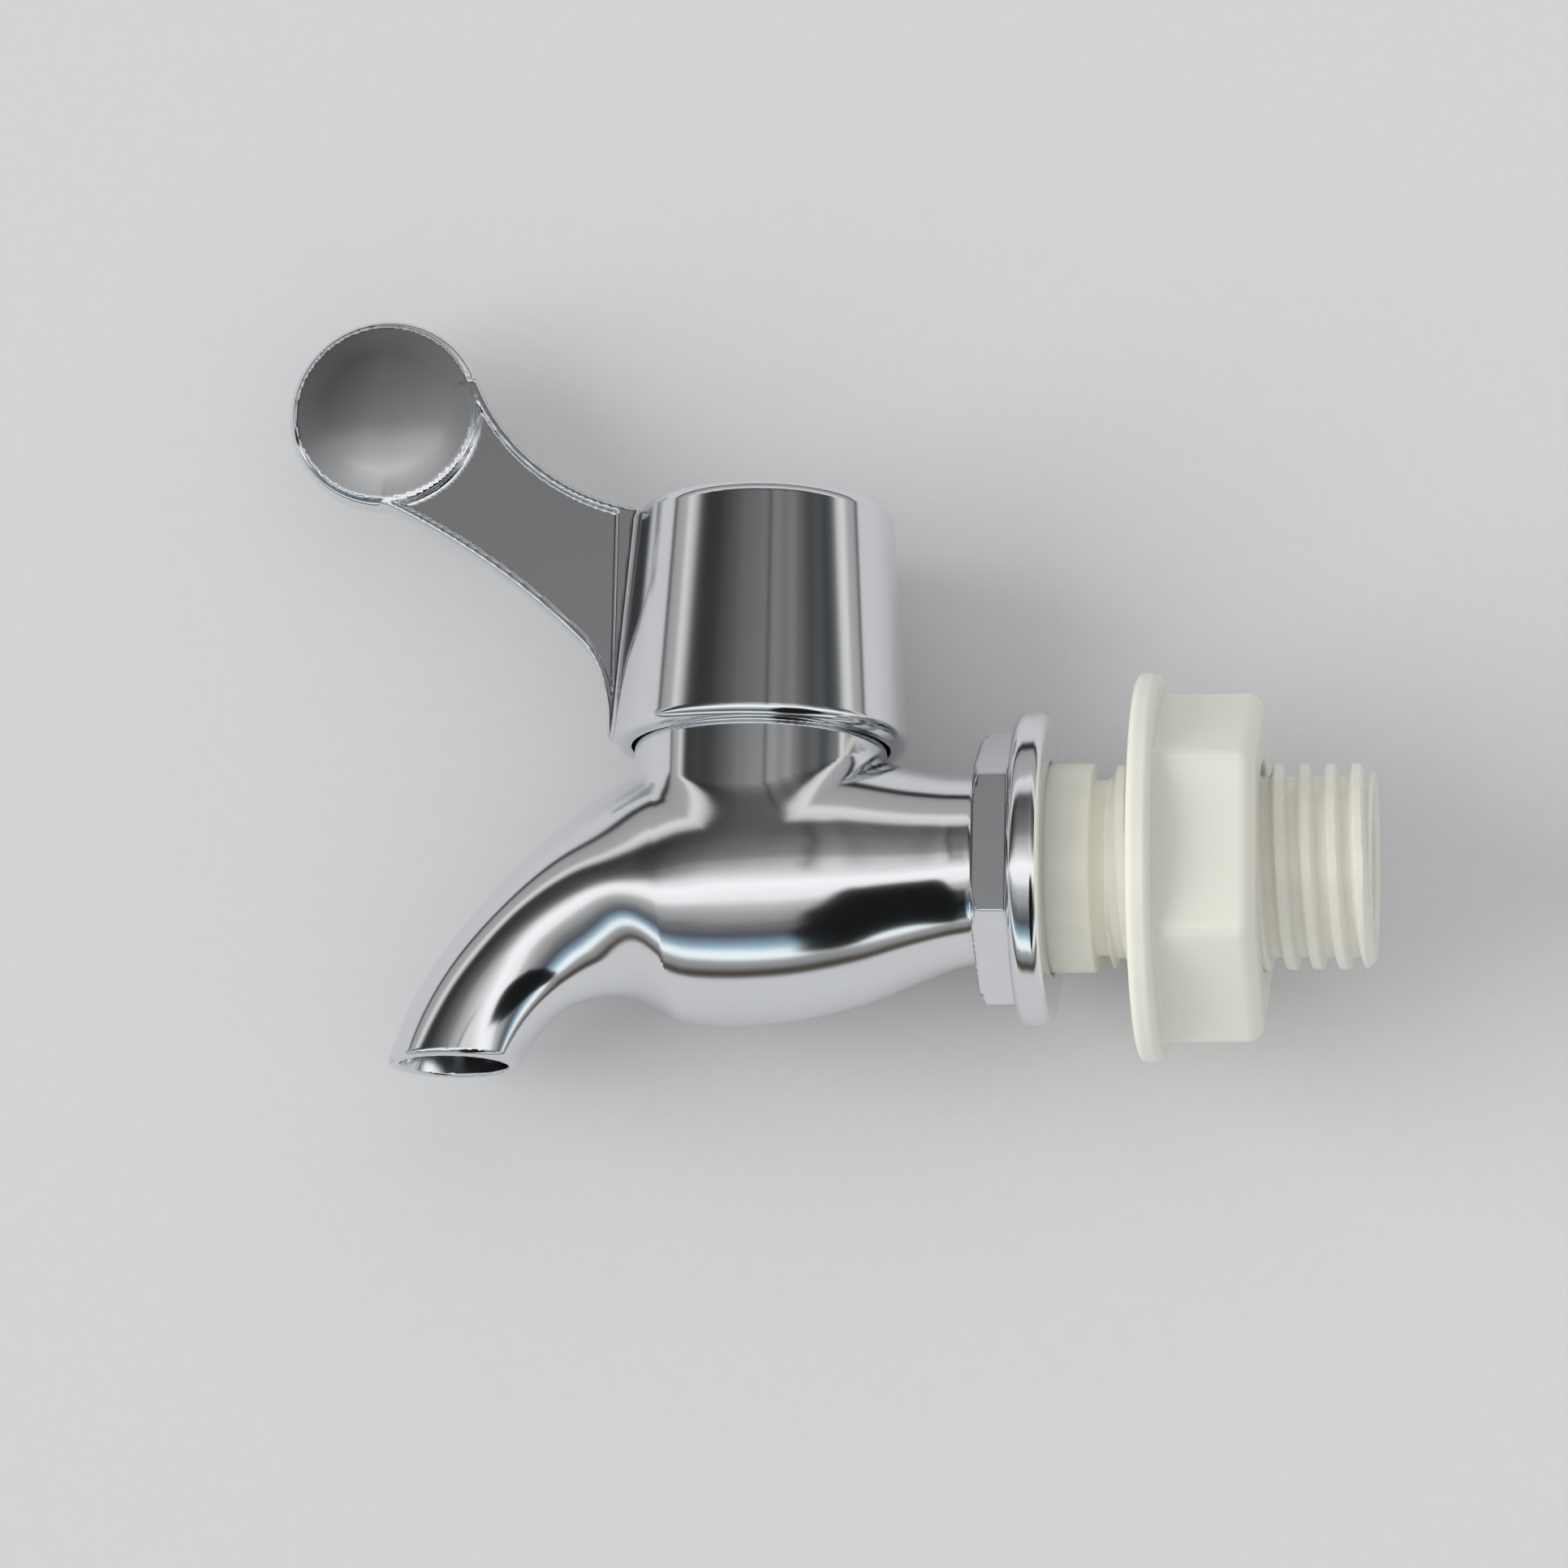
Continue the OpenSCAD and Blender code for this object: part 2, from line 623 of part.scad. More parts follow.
module paddle() {
  e = paddle_edge_r;
  rise = dome_h;
  flat_r = paddle_r - e;
  dome_r = (pow(flat_r, 2) + pow(rise, 2)) / (2 * rise);
  sweep = asin(flat_r / dome_r);
  half = concat(
    [[0, 0]],
    [[paddle_r, 0]],
    arc([paddle_r - e, lever_half - e], e, 0, 90),
    [for (i = [1 : 6]) let (a = sweep * (1 - i / 6)) [dome_r * sin(a), lever_half + rise - dome_r * (1 - cos(a))]]
  );
  for (flip = [0, 1]) translate([-paddle_x, 0, paddle_z]) rotate([flip ? 90 : -90, 0, 0])
    rotate_extrude($fn = round_fn) polygon(half);
}

module lever_handle() {
  color(chrome) difference() {
    union() {
      difference() {
        union() {
          cap_shell();
          arm_plate();
        }
        cap_hollow();
        web_pocket(1);
        web_pocket(-1);
      }
      paddle();
      stop_lug(stop_inner_r, skirt_r + 0.2, neck_top + 0.2, skirt_top - neck_top, 0, stop_half);
    }
    spline_bar(spline_r + running, spline_base - past, stem_top - spline_base + past + 0.3);
  }
}

// Fixing nut: a flanged hexagonal nut that clamps the wall against the tap's flange
nut_end_steps = 4;
corner_steps = 3;

function hex_ring(x, inset) =
  let (spread = 60 / corner_steps, reach = (nut_af / 2 - inset - nut_corner_r) / cos(30))
  [
    for (i = [0 : 5], j = [0 : corner_steps])
      let (mid = 60 * i - nut_turn, t = mid - 30 + spread * j)
      [
        x, reach * sin(mid) + nut_corner_r * sin(t),
        reach * cos(mid) + nut_corner_r * cos(t)
      ]
  ];

module fixing_nut() {
  r = nut_flange_d / 2;
  e = nut_flange_t / 3;
  end = nut_end_r;
  rounding = [
    for (i = [0 : nut_end_steps])
      let (a = 90 * i / nut_end_steps)
      hex_ring(nut_len - end + end * cos(a), end * (1 - sin(a)))
  ];
  color(natural_plastic) translate([wall_gap, 0, 0]) difference() {
    union() {
      turned(concat(
        [[0, 0]],
        arc([e, r - e], e, 180, 90),
        arc([nut_flange_t - e, r - e], e, 90, 0),
        [[nut_flange_t, 0]]
      ));
      skin(concat(rounding, [hex_ring(nut_flange_t / 2, 0)]));
    }
    along_x(-past, nut_bore_r, nut_len + 2 * past);
  }
}

tap_body();
threaded_shank();
shank_o_ring();
inlet_seal();
valve_plug();
plug_o_ring_upper();
plug_o_ring_lower();
thrust_washer();
gland_nut();
lever_handle();
fixing_nut();
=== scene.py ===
"""A dispenser tap: chromed body, spout and lever, with a cream threaded shank and fixing nut."""

import logging
import math
from dataclasses import dataclass, field
from enum import Enum
from typing import Any, Callable, Sequence

import bpy
import numpy as np
from mathutils import Matrix, Vector


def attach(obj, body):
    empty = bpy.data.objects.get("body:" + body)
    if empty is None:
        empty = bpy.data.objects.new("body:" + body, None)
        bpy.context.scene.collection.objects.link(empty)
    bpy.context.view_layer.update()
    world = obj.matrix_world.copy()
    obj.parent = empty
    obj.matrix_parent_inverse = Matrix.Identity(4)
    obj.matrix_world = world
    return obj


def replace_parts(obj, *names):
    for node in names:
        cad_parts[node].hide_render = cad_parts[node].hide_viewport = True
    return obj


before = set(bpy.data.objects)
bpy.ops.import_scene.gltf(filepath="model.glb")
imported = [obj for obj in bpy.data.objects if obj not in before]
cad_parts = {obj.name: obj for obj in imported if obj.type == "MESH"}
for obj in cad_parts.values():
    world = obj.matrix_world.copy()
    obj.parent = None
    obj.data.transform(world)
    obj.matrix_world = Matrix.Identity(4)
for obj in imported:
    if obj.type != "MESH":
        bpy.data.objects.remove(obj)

Array = np.ndarray
Colour = tuple[float, float, float]
Distance = Callable[[Array], Array]

MM = 0.001
LOG = logging.getLogger("tap")


def linear(red: float, green: float | None = None, blue: float | None = None) -> Colour:
    """Turns a display colour into a linear one.

    Args:
        red: Red, from 0 to 255, or the grey if it stands alone.
        green: Green, from 0 to 255.
        blue: Blue, from 0 to 255.

    Returns:
        The linear colour, where 1 is white.
    """
    shown = [red, red if green is None else green, red if blue is None else blue]
    parts = [v / 255 / 12.92 if v <= 10.3 else ((v / 255 + 0.055) / 1.055) ** 2.4 for v in shown]
    return parts[0], parts[1], parts[2]


# ---------------------------------------------------------------- shader and node maths


class Value:
    """A socket of a node tree that takes part in sums."""

    def __init__(self, graph: "Graph", socket: bpy.types.NodeSocket) -> None:
        """Args:
        graph: The graph that the socket belongs to.
        socket: The output socket.
        """
        self.graph = graph
        self.socket = socket

    def other(self, name: int | str) -> "Value":
        """Args:
            name: Another output of the same node.

        Returns:
            That output.
        """
        return Value(self.graph, self.socket.node.outputs[name])

    def __add__(self, b: Any) -> "Value":
        return self.graph.math("ADD", self, b)

    def __radd__(self, b: Any) -> "Value":
        return self.graph.math("ADD", b, self)

    def __sub__(self, b: Any) -> "Value":
        return self.graph.math("SUBTRACT", self, b)

    def __rsub__(self, b: Any) -> "Value":
        return self.graph.math("SUBTRACT", b, self)

    def __mul__(self, b: Any) -> "Value":
        return self.graph.math("MULTIPLY", self, b)

    def __rmul__(self, b: Any) -> "Value":
        return self.graph.math("MULTIPLY", b, self)

    def __truediv__(self, b: Any) -> "Value":
        return self.graph.math("DIVIDE", self, b)

    def __rtruediv__(self, b: Any) -> "Value":
        return self.graph.math("DIVIDE", b, self)

    def __pow__(self, b: Any) -> "Value":
        return self.graph.math("POWER", self, b)

    def __neg__(self) -> "Value":
        return self.graph.math("MULTIPLY", self, -1.0)


class Graph:
    """A node tree that is written as sums and calls."""

    def __init__(self, tree: bpy.types.NodeTree) -> None:
        """Args:
        tree: The tree to fill. Its nodes are cleared first.
        """
        self.tree = tree
        tree.nodes.clear()

    def node(
        self,
        kind: str,
        settings: dict[str, Any] | None = None,
        inputs: dict[int | str, Any] | None = None,
        output: int | str = 0,
    ) -> Value:
        """Adds a node.

        Args:
            kind: The node's type.
            settings: Its properties.
            inputs: Its inputs, by name or place, each a plain value or a Value to link.
            output: The output to return, by name or place.

        Returns:
            That output.
        """
        made = self.tree.nodes.new(kind)
        for name, setting in (settings or {}).items():
            setattr(made, name, setting)
        for name, given in (inputs or {}).items():
            if isinstance(given, Value):
                self.tree.links.new(given.socket, made.inputs[name])
            else:
                made.inputs[name].default_value = given
        return Value(self, made.outputs[output]) if made.outputs else Value(self, made.inputs[0])

    def math(self, operation: str, *values: Any, clamp: bool = False) -> Value:
        """Args:
            operation: The Math node's operation.
            *values: Its operands.
            clamp: Whether the result is held between 0 and 1.

        Returns:
            The result.
        """
        return self.node("ShaderNodeMath", {"operation": operation, "use_clamp": clamp}, dict(enumerate(values)))

    def vector(self, operation: str, *values: Any, output: int | str = 0) -> Value:
        """Args:
            operation: The Vector Math node's operation.
            *values: Its operands.
            output: The output to return.

        Returns:
            The result.
        """
        return self.node("ShaderNodeVectorMath", {"operation": operation}, dict(enumerate(values)), output)

    def step(self, value: Value, start: float, end: float) -> Value:
        """Args:
            value: The number to test.
            start: Where the result is 0.
            end: Where the result is 1. It may be less than start.

        Returns:
            A smooth step from 0 to 1.
        """
        t = self.math("DIVIDE", value - start, end - start, clamp=True)
        return t * t * (3.0 - 2.0 * t)

    def mix(self, factor: Any, a: Any, b: Any) -> Value:
        """Args:
            factor: 0 gives a, 1 gives b.
            a: A colour of four numbers, or a Value.
            b: A colour of four numbers, or a Value.

        Returns:
            The mixed colour.
        """
        return self.node("ShaderNodeMix", {"data_type": "RGBA"}, {0: factor, 6: a, 7: b}, 2)

    def ramp(self, factor: Value, stops: Sequence[tuple[float, Colour]]) -> Value:
        """Args:
            factor: The place on the ramp, from 0 to 1.
            stops: Places and their linear colours, in rising order.

        Returns:
            The ramp's colour.
        """
        result = self.node("ShaderNodeValToRGB", None, {0: factor})
        ramp = result.socket.node.color_ramp
        ramp.interpolation = "EASE"
        while len(ramp.elements) < len(stops):
            ramp.elements.new(0.5)
        for element, (place, colour) in zip(ramp.elements, stops):
            element.position = place
            element.color = (*colour, 1.0)
        return result

    def place(self) -> Value:
        """Returns:
        The object's own coordinates, in metres.
        """
        return self.node("ShaderNodeTexCoord", output="Object")

    def noise(self, at: Any, scale: float, detail: float = 2.0, roughness: float = 0.5) -> Value:
        """Args:
            at: Where the noise is read.
            scale: Its waves per metre.
            detail: Its octaves.
            roughness: The weight of the finer octaves.

        Returns:
            The noise, about 0.5.
        """
        inputs = {"Vector": at, "Scale": scale, "Detail": detail, "Roughness": roughness}
        return self.node("ShaderNodeTexNoise", {"noise_dimensions": "3D"}, inputs, 0)


# ---------------------------------------------------------------- finishes


@dataclass(frozen=True)
class Finish:
    """A surface finish: a Principled shader with faint wear.

    Attributes:
        name: The material's name.
        colour: Linear base colour.
        roughness: Middle roughness.
        roughness_spread: How far smudges move the roughness.
        metallic: 1 for metal.
        ior: Index of refraction.
        subsurface: Weight of light that soaks in.
        subsurface_scale: How deep it soaks, in metres.
        wave_scale: Waves per metre of the surface's slow unevenness.
        wave_height: Height of that unevenness, in metres.
        mottle: How much the colour varies.
    """

    name: str
    colour: Colour
    roughness: float = 0.3
    roughness_spread: float = 0.02
    metallic: float = 0.0
    ior: float = 1.5
    subsurface: float = 0.0
    subsurface_scale: float = 0.002
    wave_scale: float = 90.0
    wave_height: float = 0.0
    mottle: float = 0.0

    def colours(self, graph: Graph) -> Value:
        """Args:
            graph: The material's graph.

        Returns:
            The base colour, with its mottling.
        """
        cloud = graph.noise(graph.place(), 260.0, 4.0, 0.6)
        dark = tuple(c * (1 - self.mottle) for c in self.colour)
        return graph.mix(graph.step(cloud, 0.35, 0.65), (*dark, 1.0), (*self.colour, 1.0))

    def material(self) -> bpy.types.Material:
        """Returns:
        The finished material, made once and then reused.
        """
        known = bpy.data.materials.get(self.name)
        if known:
            return known
        made = bpy.data.materials.new(self.name)
        made.use_nodes = True
        graph = Graph(made.node_tree)
        place = graph.place()
        smudge = graph.noise(place, 140.0, 3.0, 0.55)
        inputs: dict[int | str, Any] = {
            "Base Color": self.colours(graph),
            "Roughness": self.roughness + self.roughness_spread * (smudge - 0.5) * 2.0,
            "Metallic": self.metallic,
            "IOR": self.ior,
            "Subsurface Weight": self.subsurface,
            "Subsurface Scale": self.subsurface_scale,
            "Subsurface Radius": (1.0, 0.9, 0.6),
        }
        if self.wave_height:
            height = graph.noise(place, self.wave_scale, 1.0, 0.4)
            bump = {"Strength": 1.0, "Distance": self.wave_height, "Height": height}
            inputs["Normal"] = graph.node("ShaderNodeBump", None, bump)
        shader = graph.node("ShaderNodeBsdfPrincipled", None, inputs)
        graph.node("ShaderNodeOutputMaterial", None, {"Surface": shader})
        return made


@dataclass(frozen=True)
class SpeckledFinish(Finish):
    """A finish with a few dark specks of dirt moulded in.

    Attributes:
        specks: Their places, in millimetres.
        speck_radius: Their radius, in millimetres.
    """

    specks: tuple[Colour, ...] = ()
    speck_radius: float = 0.16

    def colours(self, graph: Graph) -> Value:
        """Args:
            graph: The material's graph.

        Returns:
            The base colour with its specks.
        """
        result = super().colours(graph)
        place = graph.place()
        for speck in self.specks:
            away = graph.vector("DISTANCE", place, tuple(v * MM for v in speck), output=1)
            inside = graph.step(away, self.speck_radius * MM * 1.6, self.speck_radius * MM * 0.6)
            result = graph.mix(inside, result, (0.03, 0.025, 0.02, 1.0))
        return result


class Finishes(Enum):
    """The tap's finishes, one for each material slot of the record."""

    CHROME = Finish(
        "chrome", (0.86, 0.87, 0.885), 0.045, 0.015, 1.0, wave_scale=110.0, wave_height=0.00002, mottle=0.02
    )
    NATURAL_PLASTIC = SpeckledFinish(
        "natural_plastic", (0.76, 0.745, 0.62), 0.36, 0.05, subsurface=0.35, subsurface_scale=0.0025,
        wave_scale=400.0, wave_height=0.00001, mottle=0.03,
    )
    BEARING_PLASTIC = Finish("bearing_plastic", (0.84, 0.84, 0.8), 0.42, 0.04, subsurface=0.15, mottle=0.02)
    BLACK_RUBBER = Finish("black_rubber", (0.012, 0.012, 0.014), 0.6, 0.08, mottle=0.2)
    CLEAR_RUBBER = Finish("clear_rubber", (0.62, 0.58, 0.48), 0.45, 0.05, subsurface=0.5, mottle=0.03)
    BRASS = Finish("brass", (0.78, 0.57, 0.24), 0.22, 0.06, 1.0, mottle=0.06)

    def dress(self, piece: bpy.types.Object) -> None:
        """Args:
        piece: The object that takes the finish, over its whole surface.
        """
        piece.data.materials.clear()
        piece.data.materials.append(self.value.material())


# ---------------------------------------------------------------- solids as distance fields


def round_union(a: Array, b: Array, radius: float) -> Array:
    """Joins two solids, with a fillet where they meet.

    Args:
        a: Distances to the first solid.
        b: Distances to the second solid.
        radius: The fillet's radius.

    Returns:
        Distances to the joined solid.
    """
    corner = np.hypot(np.maximum(radius - a, 0), np.maximum(radius - b, 0))
    return np.maximum(radius, np.minimum(a, b)) - corner


def round_intersection(a: Array, b: Array, radius: float) -> Array:
    """Keeps what two solids share, with its new edge rounded.

    Args:
        a: Distances to the first solid.
        b: Distances to the second solid.
        radius: The edge's radius.

    Returns:
        Distances to the shared solid.
    """
    corner = np.hypot(np.maximum(radius + a, 0), np.maximum(radius + b, 0))
    return np.minimum(-radius, np.maximum(a, b)) + corner


def disc(radial: Array, along: Array, radius: float, low: float, high: float, edge: float) -> Array:
    """A round disc or bar with rounded edges.

    Args:
        radial: Distances from the axis.
        along: Places along the axis.
        radius: The disc's radius.
        low: Where it starts.
        high: Where it ends.
        edge: Radius of its edges.

    Returns:
        Distances to the disc.
    """
    ends = np.abs(along - (low + high) / 2) - (high - low) / 2
    return round_intersection(radial - radius, ends, edge)


class SmoothCurve:
    """A curve through evenly spaced values, with smooth curvature and level ends."""

    def __init__(self, start: float, step: float, values: Array) -> None:
        """Args:
        start: The place of the first value.
        step: The distance between values.
        values: The values.
        """
        count = len(values)
        system = np.eye(count)
        right = np.zeros(count)
        for i in range(1, count - 1):
            system[i, i - 1 : i + 2] = (1, 4, 1)
            right[i] = 3 * (values[i + 1] - values[i - 1])
        self.start = start
        self.step = step
        self.values = values
        self.rises = np.linalg.solve(system, right)

    def at(self, place: Array) -> tuple[Array, Array]:
        """Args:
            place: Places along the curve; past its ends it is level.

        Returns:
            The curve's values and its slopes there.
        """
        last = len(self.values) - 1
        u = np.clip((place - self.start) / self.step, 0, last - 1e-9)
        i = u.astype(int)
        t = u - i
        a, b, ra, rb = self.values[i], self.values[i + 1], self.rises[i], self.rises[i + 1]
        c2 = 3 * (b - a) - 2 * ra - rb
        c3 = 2 * (a - b) + ra + rb
        value = a + t * (ra + t * (c2 + t * c3))
        slope = (ra + t * (2 * c2 + 3 * t * c3)) / self.step
        return value, slope


@dataclass
class SurfaceNet:
    """Turns a distance field into an even mesh of four-sided faces.

    Attributes:
        distance: The field, in millimetres.
        low: The lowest corner to mesh.
        high: The highest corner to mesh.
        cell: The size of a face.
        relax: Rounds of evening out.
    """

    distance: Distance
    low: Colour
    high: Colour
    cell: float
    relax: int = 3

    def gradient(self, points: Array, reach: float = 0.01) -> Array:
        """Args:
            points: Where to measure.
            reach: Half the width of the measurement.

        Returns:
            The field's slope at each point.
        """
        result = np.empty_like(points)
        for axis in range(3):
            offset = np.zeros(3)
            offset[axis] = reach
            result[:, axis] = (self.distance(points + offset) - self.distance(points - offset)) / (2 * reach)
        return result

    def pull(self, points: Array, rounds: int) -> Array:
        """Args:
            points: Points near the surface.
            rounds: How often to correct them.

        Returns:
            The points on the surface.
        """
        for _ in range(rounds):
            slope = self.gradient(points)
            steep = np.maximum((slope**2).sum(1), 0.05)
            move = -self.distance(points)[:, None] * slope / steep[:, None]
            points = points + np.clip(move, -self.cell, self.cell)
        return points

    def build(self) -> tuple[Array, Array, Array]:
        """Returns:
        The mesh's points in millimetres, its faces and its outward normals.
        """
        axes = [np.arange(a - 1.5 * self.cell, b + 2.5 * self.cell, self.cell) for a, b in zip(self.low, self.high)]
        inside = np.empty([len(a) for a in axes], bool)
        flat = np.stack(np.meshgrid(axes[1], axes[2], indexing="ij"), -1).reshape(-1, 2)
        for i, x in enumerate(axes[0]):
            points = np.column_stack([np.full(len(flat), x), flat])
            inside[i] = (self.distance(points) < 0).reshape(len(axes[1]), len(axes[2]))
        count = np.zeros([n - 1 for n in inside.shape], int)
        for i in (0, 1):
            for j in (0, 1):
                for k in (0, 1):
                    nx, ny, nz = count.shape
                    count += inside[i : i + nx, j : j + ny, k : k + nz]
        active = (count > 0) & (count < 8)
        number = np.full(active.shape, -1)
        number[active] = np.arange(active.sum())
        where = np.argwhere(active)
        points = np.column_stack([axes[n][where[:, n]] + self.cell / 2 for n in range(3)])
        faces = self._faces(inside, number)
        points = self.pull(points, 5)
        for _ in range(self.relax):
            points = self.pull(self._even(points, faces), 2)
        normals = self.gradient(points)
        normals /= np.maximum(np.linalg.norm(normals, axis=1), 1e-9)[:, None]
        return points, faces, normals

    @staticmethod
    def _faces(inside: Array, number: Array) -> Array:
        """Args:
            inside: Which grid points lie in the solid.
            number: The point number of each cell on the surface.

        Returns:
            The faces, four point numbers each.
        """
        result = []
        for axis in range(3):
            near = np.moveaxis(inside, axis, 0)
            cells = np.moveaxis(number, axis, 0)
            if axis == 1:
                near, cells = near.swapaxes(1, 2), cells.swapaxes(1, 2)
            here, there = near[:-1, 1:-1, 1:-1], near[1:, 1:-1, 1:-1]
            i, j, k = np.nonzero(here != there)
            quad = np.stack(
                [cells[i, j, k], cells[i, j + 1, k], cells[i, j + 1, k + 1], cells[i, j, k + 1]], axis=1
            )
            leaving = here[i, j, k]
            quad[~leaving] = quad[~leaving][:, ::-1]
            result.append(quad)
        return np.concatenate(result)

    @staticmethod
    def _even(points: Array, faces: Array) -> Array:
        """Args:
            points: The mesh's points.
            faces: Its faces.

        Returns:
            Each point moved halfway to the middle of its neighbours.
        """
        count = np.zeros(len(points))
        total = np.zeros_like(points)
        for a, b in ((0, 1), (1, 2), (2, 3), (3, 0), (1, 0), (2, 1), (3, 2), (0, 3)):
            count += np.bincount(faces[:, a], minlength=len(points))
            for axis in range(3):
                weights = points[faces[:, b], axis]
                total[:, axis] += np.bincount(faces[:, a], weights, minlength=len(points))
        return 0.4 * points + 0.6 * total / count[:, None]


def mesh_object(
    name: str, points: Array, faces: Sequence[Sequence[int]] | Array, normals: Array | None = None
) -> bpy.types.Object:
    """Makes a smooth mesh object at the origin.

    Args:
        name: The object's name.
        points: Its points, in millimetres.
        faces: Its faces.
        normals: Its outward normals, where they are known better than from the faces.

    Returns:
        The new object, in the scene.
    """
    mesh = bpy.data.meshes.new(name)
    mesh.from_pydata((points * MM).tolist(), [], np.asarray(faces).tolist())
    mesh.validate()
    mesh.polygons.foreach_set("use_smooth", np.ones(len(mesh.polygons), bool))
    mesh.update()
    if normals is not None and len(mesh.vertices) == len(normals):
        mesh.normals_split_custom_set_from_vertices(normals.tolist())
    made = bpy.data.objects.new(name, mesh)
    bpy.context.scene.collection.objects.link(made)
    return made


# ---------------------------------------------------------------- the chromed body


@dataclass
class CentreLine:
    """The body's centre line: a gentle fall from the collar, then a bend down to the mouth.

    Attributes:
        start_x: Where it leaves the collar.
        bend_x: Where the bend starts.
        bend_r: The bend's radius.
        fall: The first fall, in degrees.
        mouth_fall: The fall at the mouth, in degrees.
    """

    start_x: float = -5.5
    bend_x: float = -29.65
    bend_r: float = 18.9
    fall: float = 4.5
    mouth_fall: float = 73.5

    def __post_init__(self) -> None:
        """Works out the lengths and centres that follow from the sizes."""
        a, m = math.radians(self.fall), math.radians(self.mouth_fall)
        self.straight = (self.start_x - self.bend_x) / math.cos(a)
        self.length = self.straight + self.bend_r * (m - a)
        drop = -self.straight * math.sin(a)
        self.centre = (self.bend_x + self.bend_r * math.sin(a), drop - self.bend_r * math.cos(a))
        self.mouth = (self.centre[0] - self.bend_r * math.sin(m), self.centre[1] + self.bend_r * math.cos(m))

    def locate(self, x: Array, z: Array) -> tuple[Array, Array, Array]:
        """Args:
            x: Places along X.
            z: Heights.

        Returns:
            The nearest place along the line, the distance above it, and the fall there.
        """
        a, m = math.radians(self.fall), math.radians(self.mouth_fall)
        s = -(x - self.start_x) * math.cos(a) - z * math.sin(a)
        above = -(x - self.start_x) * math.sin(a) + z * math.cos(a)
        vx, vz = x - self.centre[0], z - self.centre[1]
        turn = np.arctan2(-vx, vz)
        turn = np.where(turn < a, turn + 2 * math.pi, turn)
        bent = s > self.straight
        past = bent & (turn > m)
        mx, mz = x - self.mouth[0], z - self.mouth[1]
        place = np.where(bent, self.straight + (turn - a) * self.bend_r, s)
        height = np.where(bent, np.hypot(vx, vz) - self.bend_r, above)
        place = np.where(past, self.length - mx * math.cos(m) - mz * math.sin(m), place)
        height = np.where(past, -mx * math.sin(m) + mz * math.cos(m), height)
        return place, height, turn


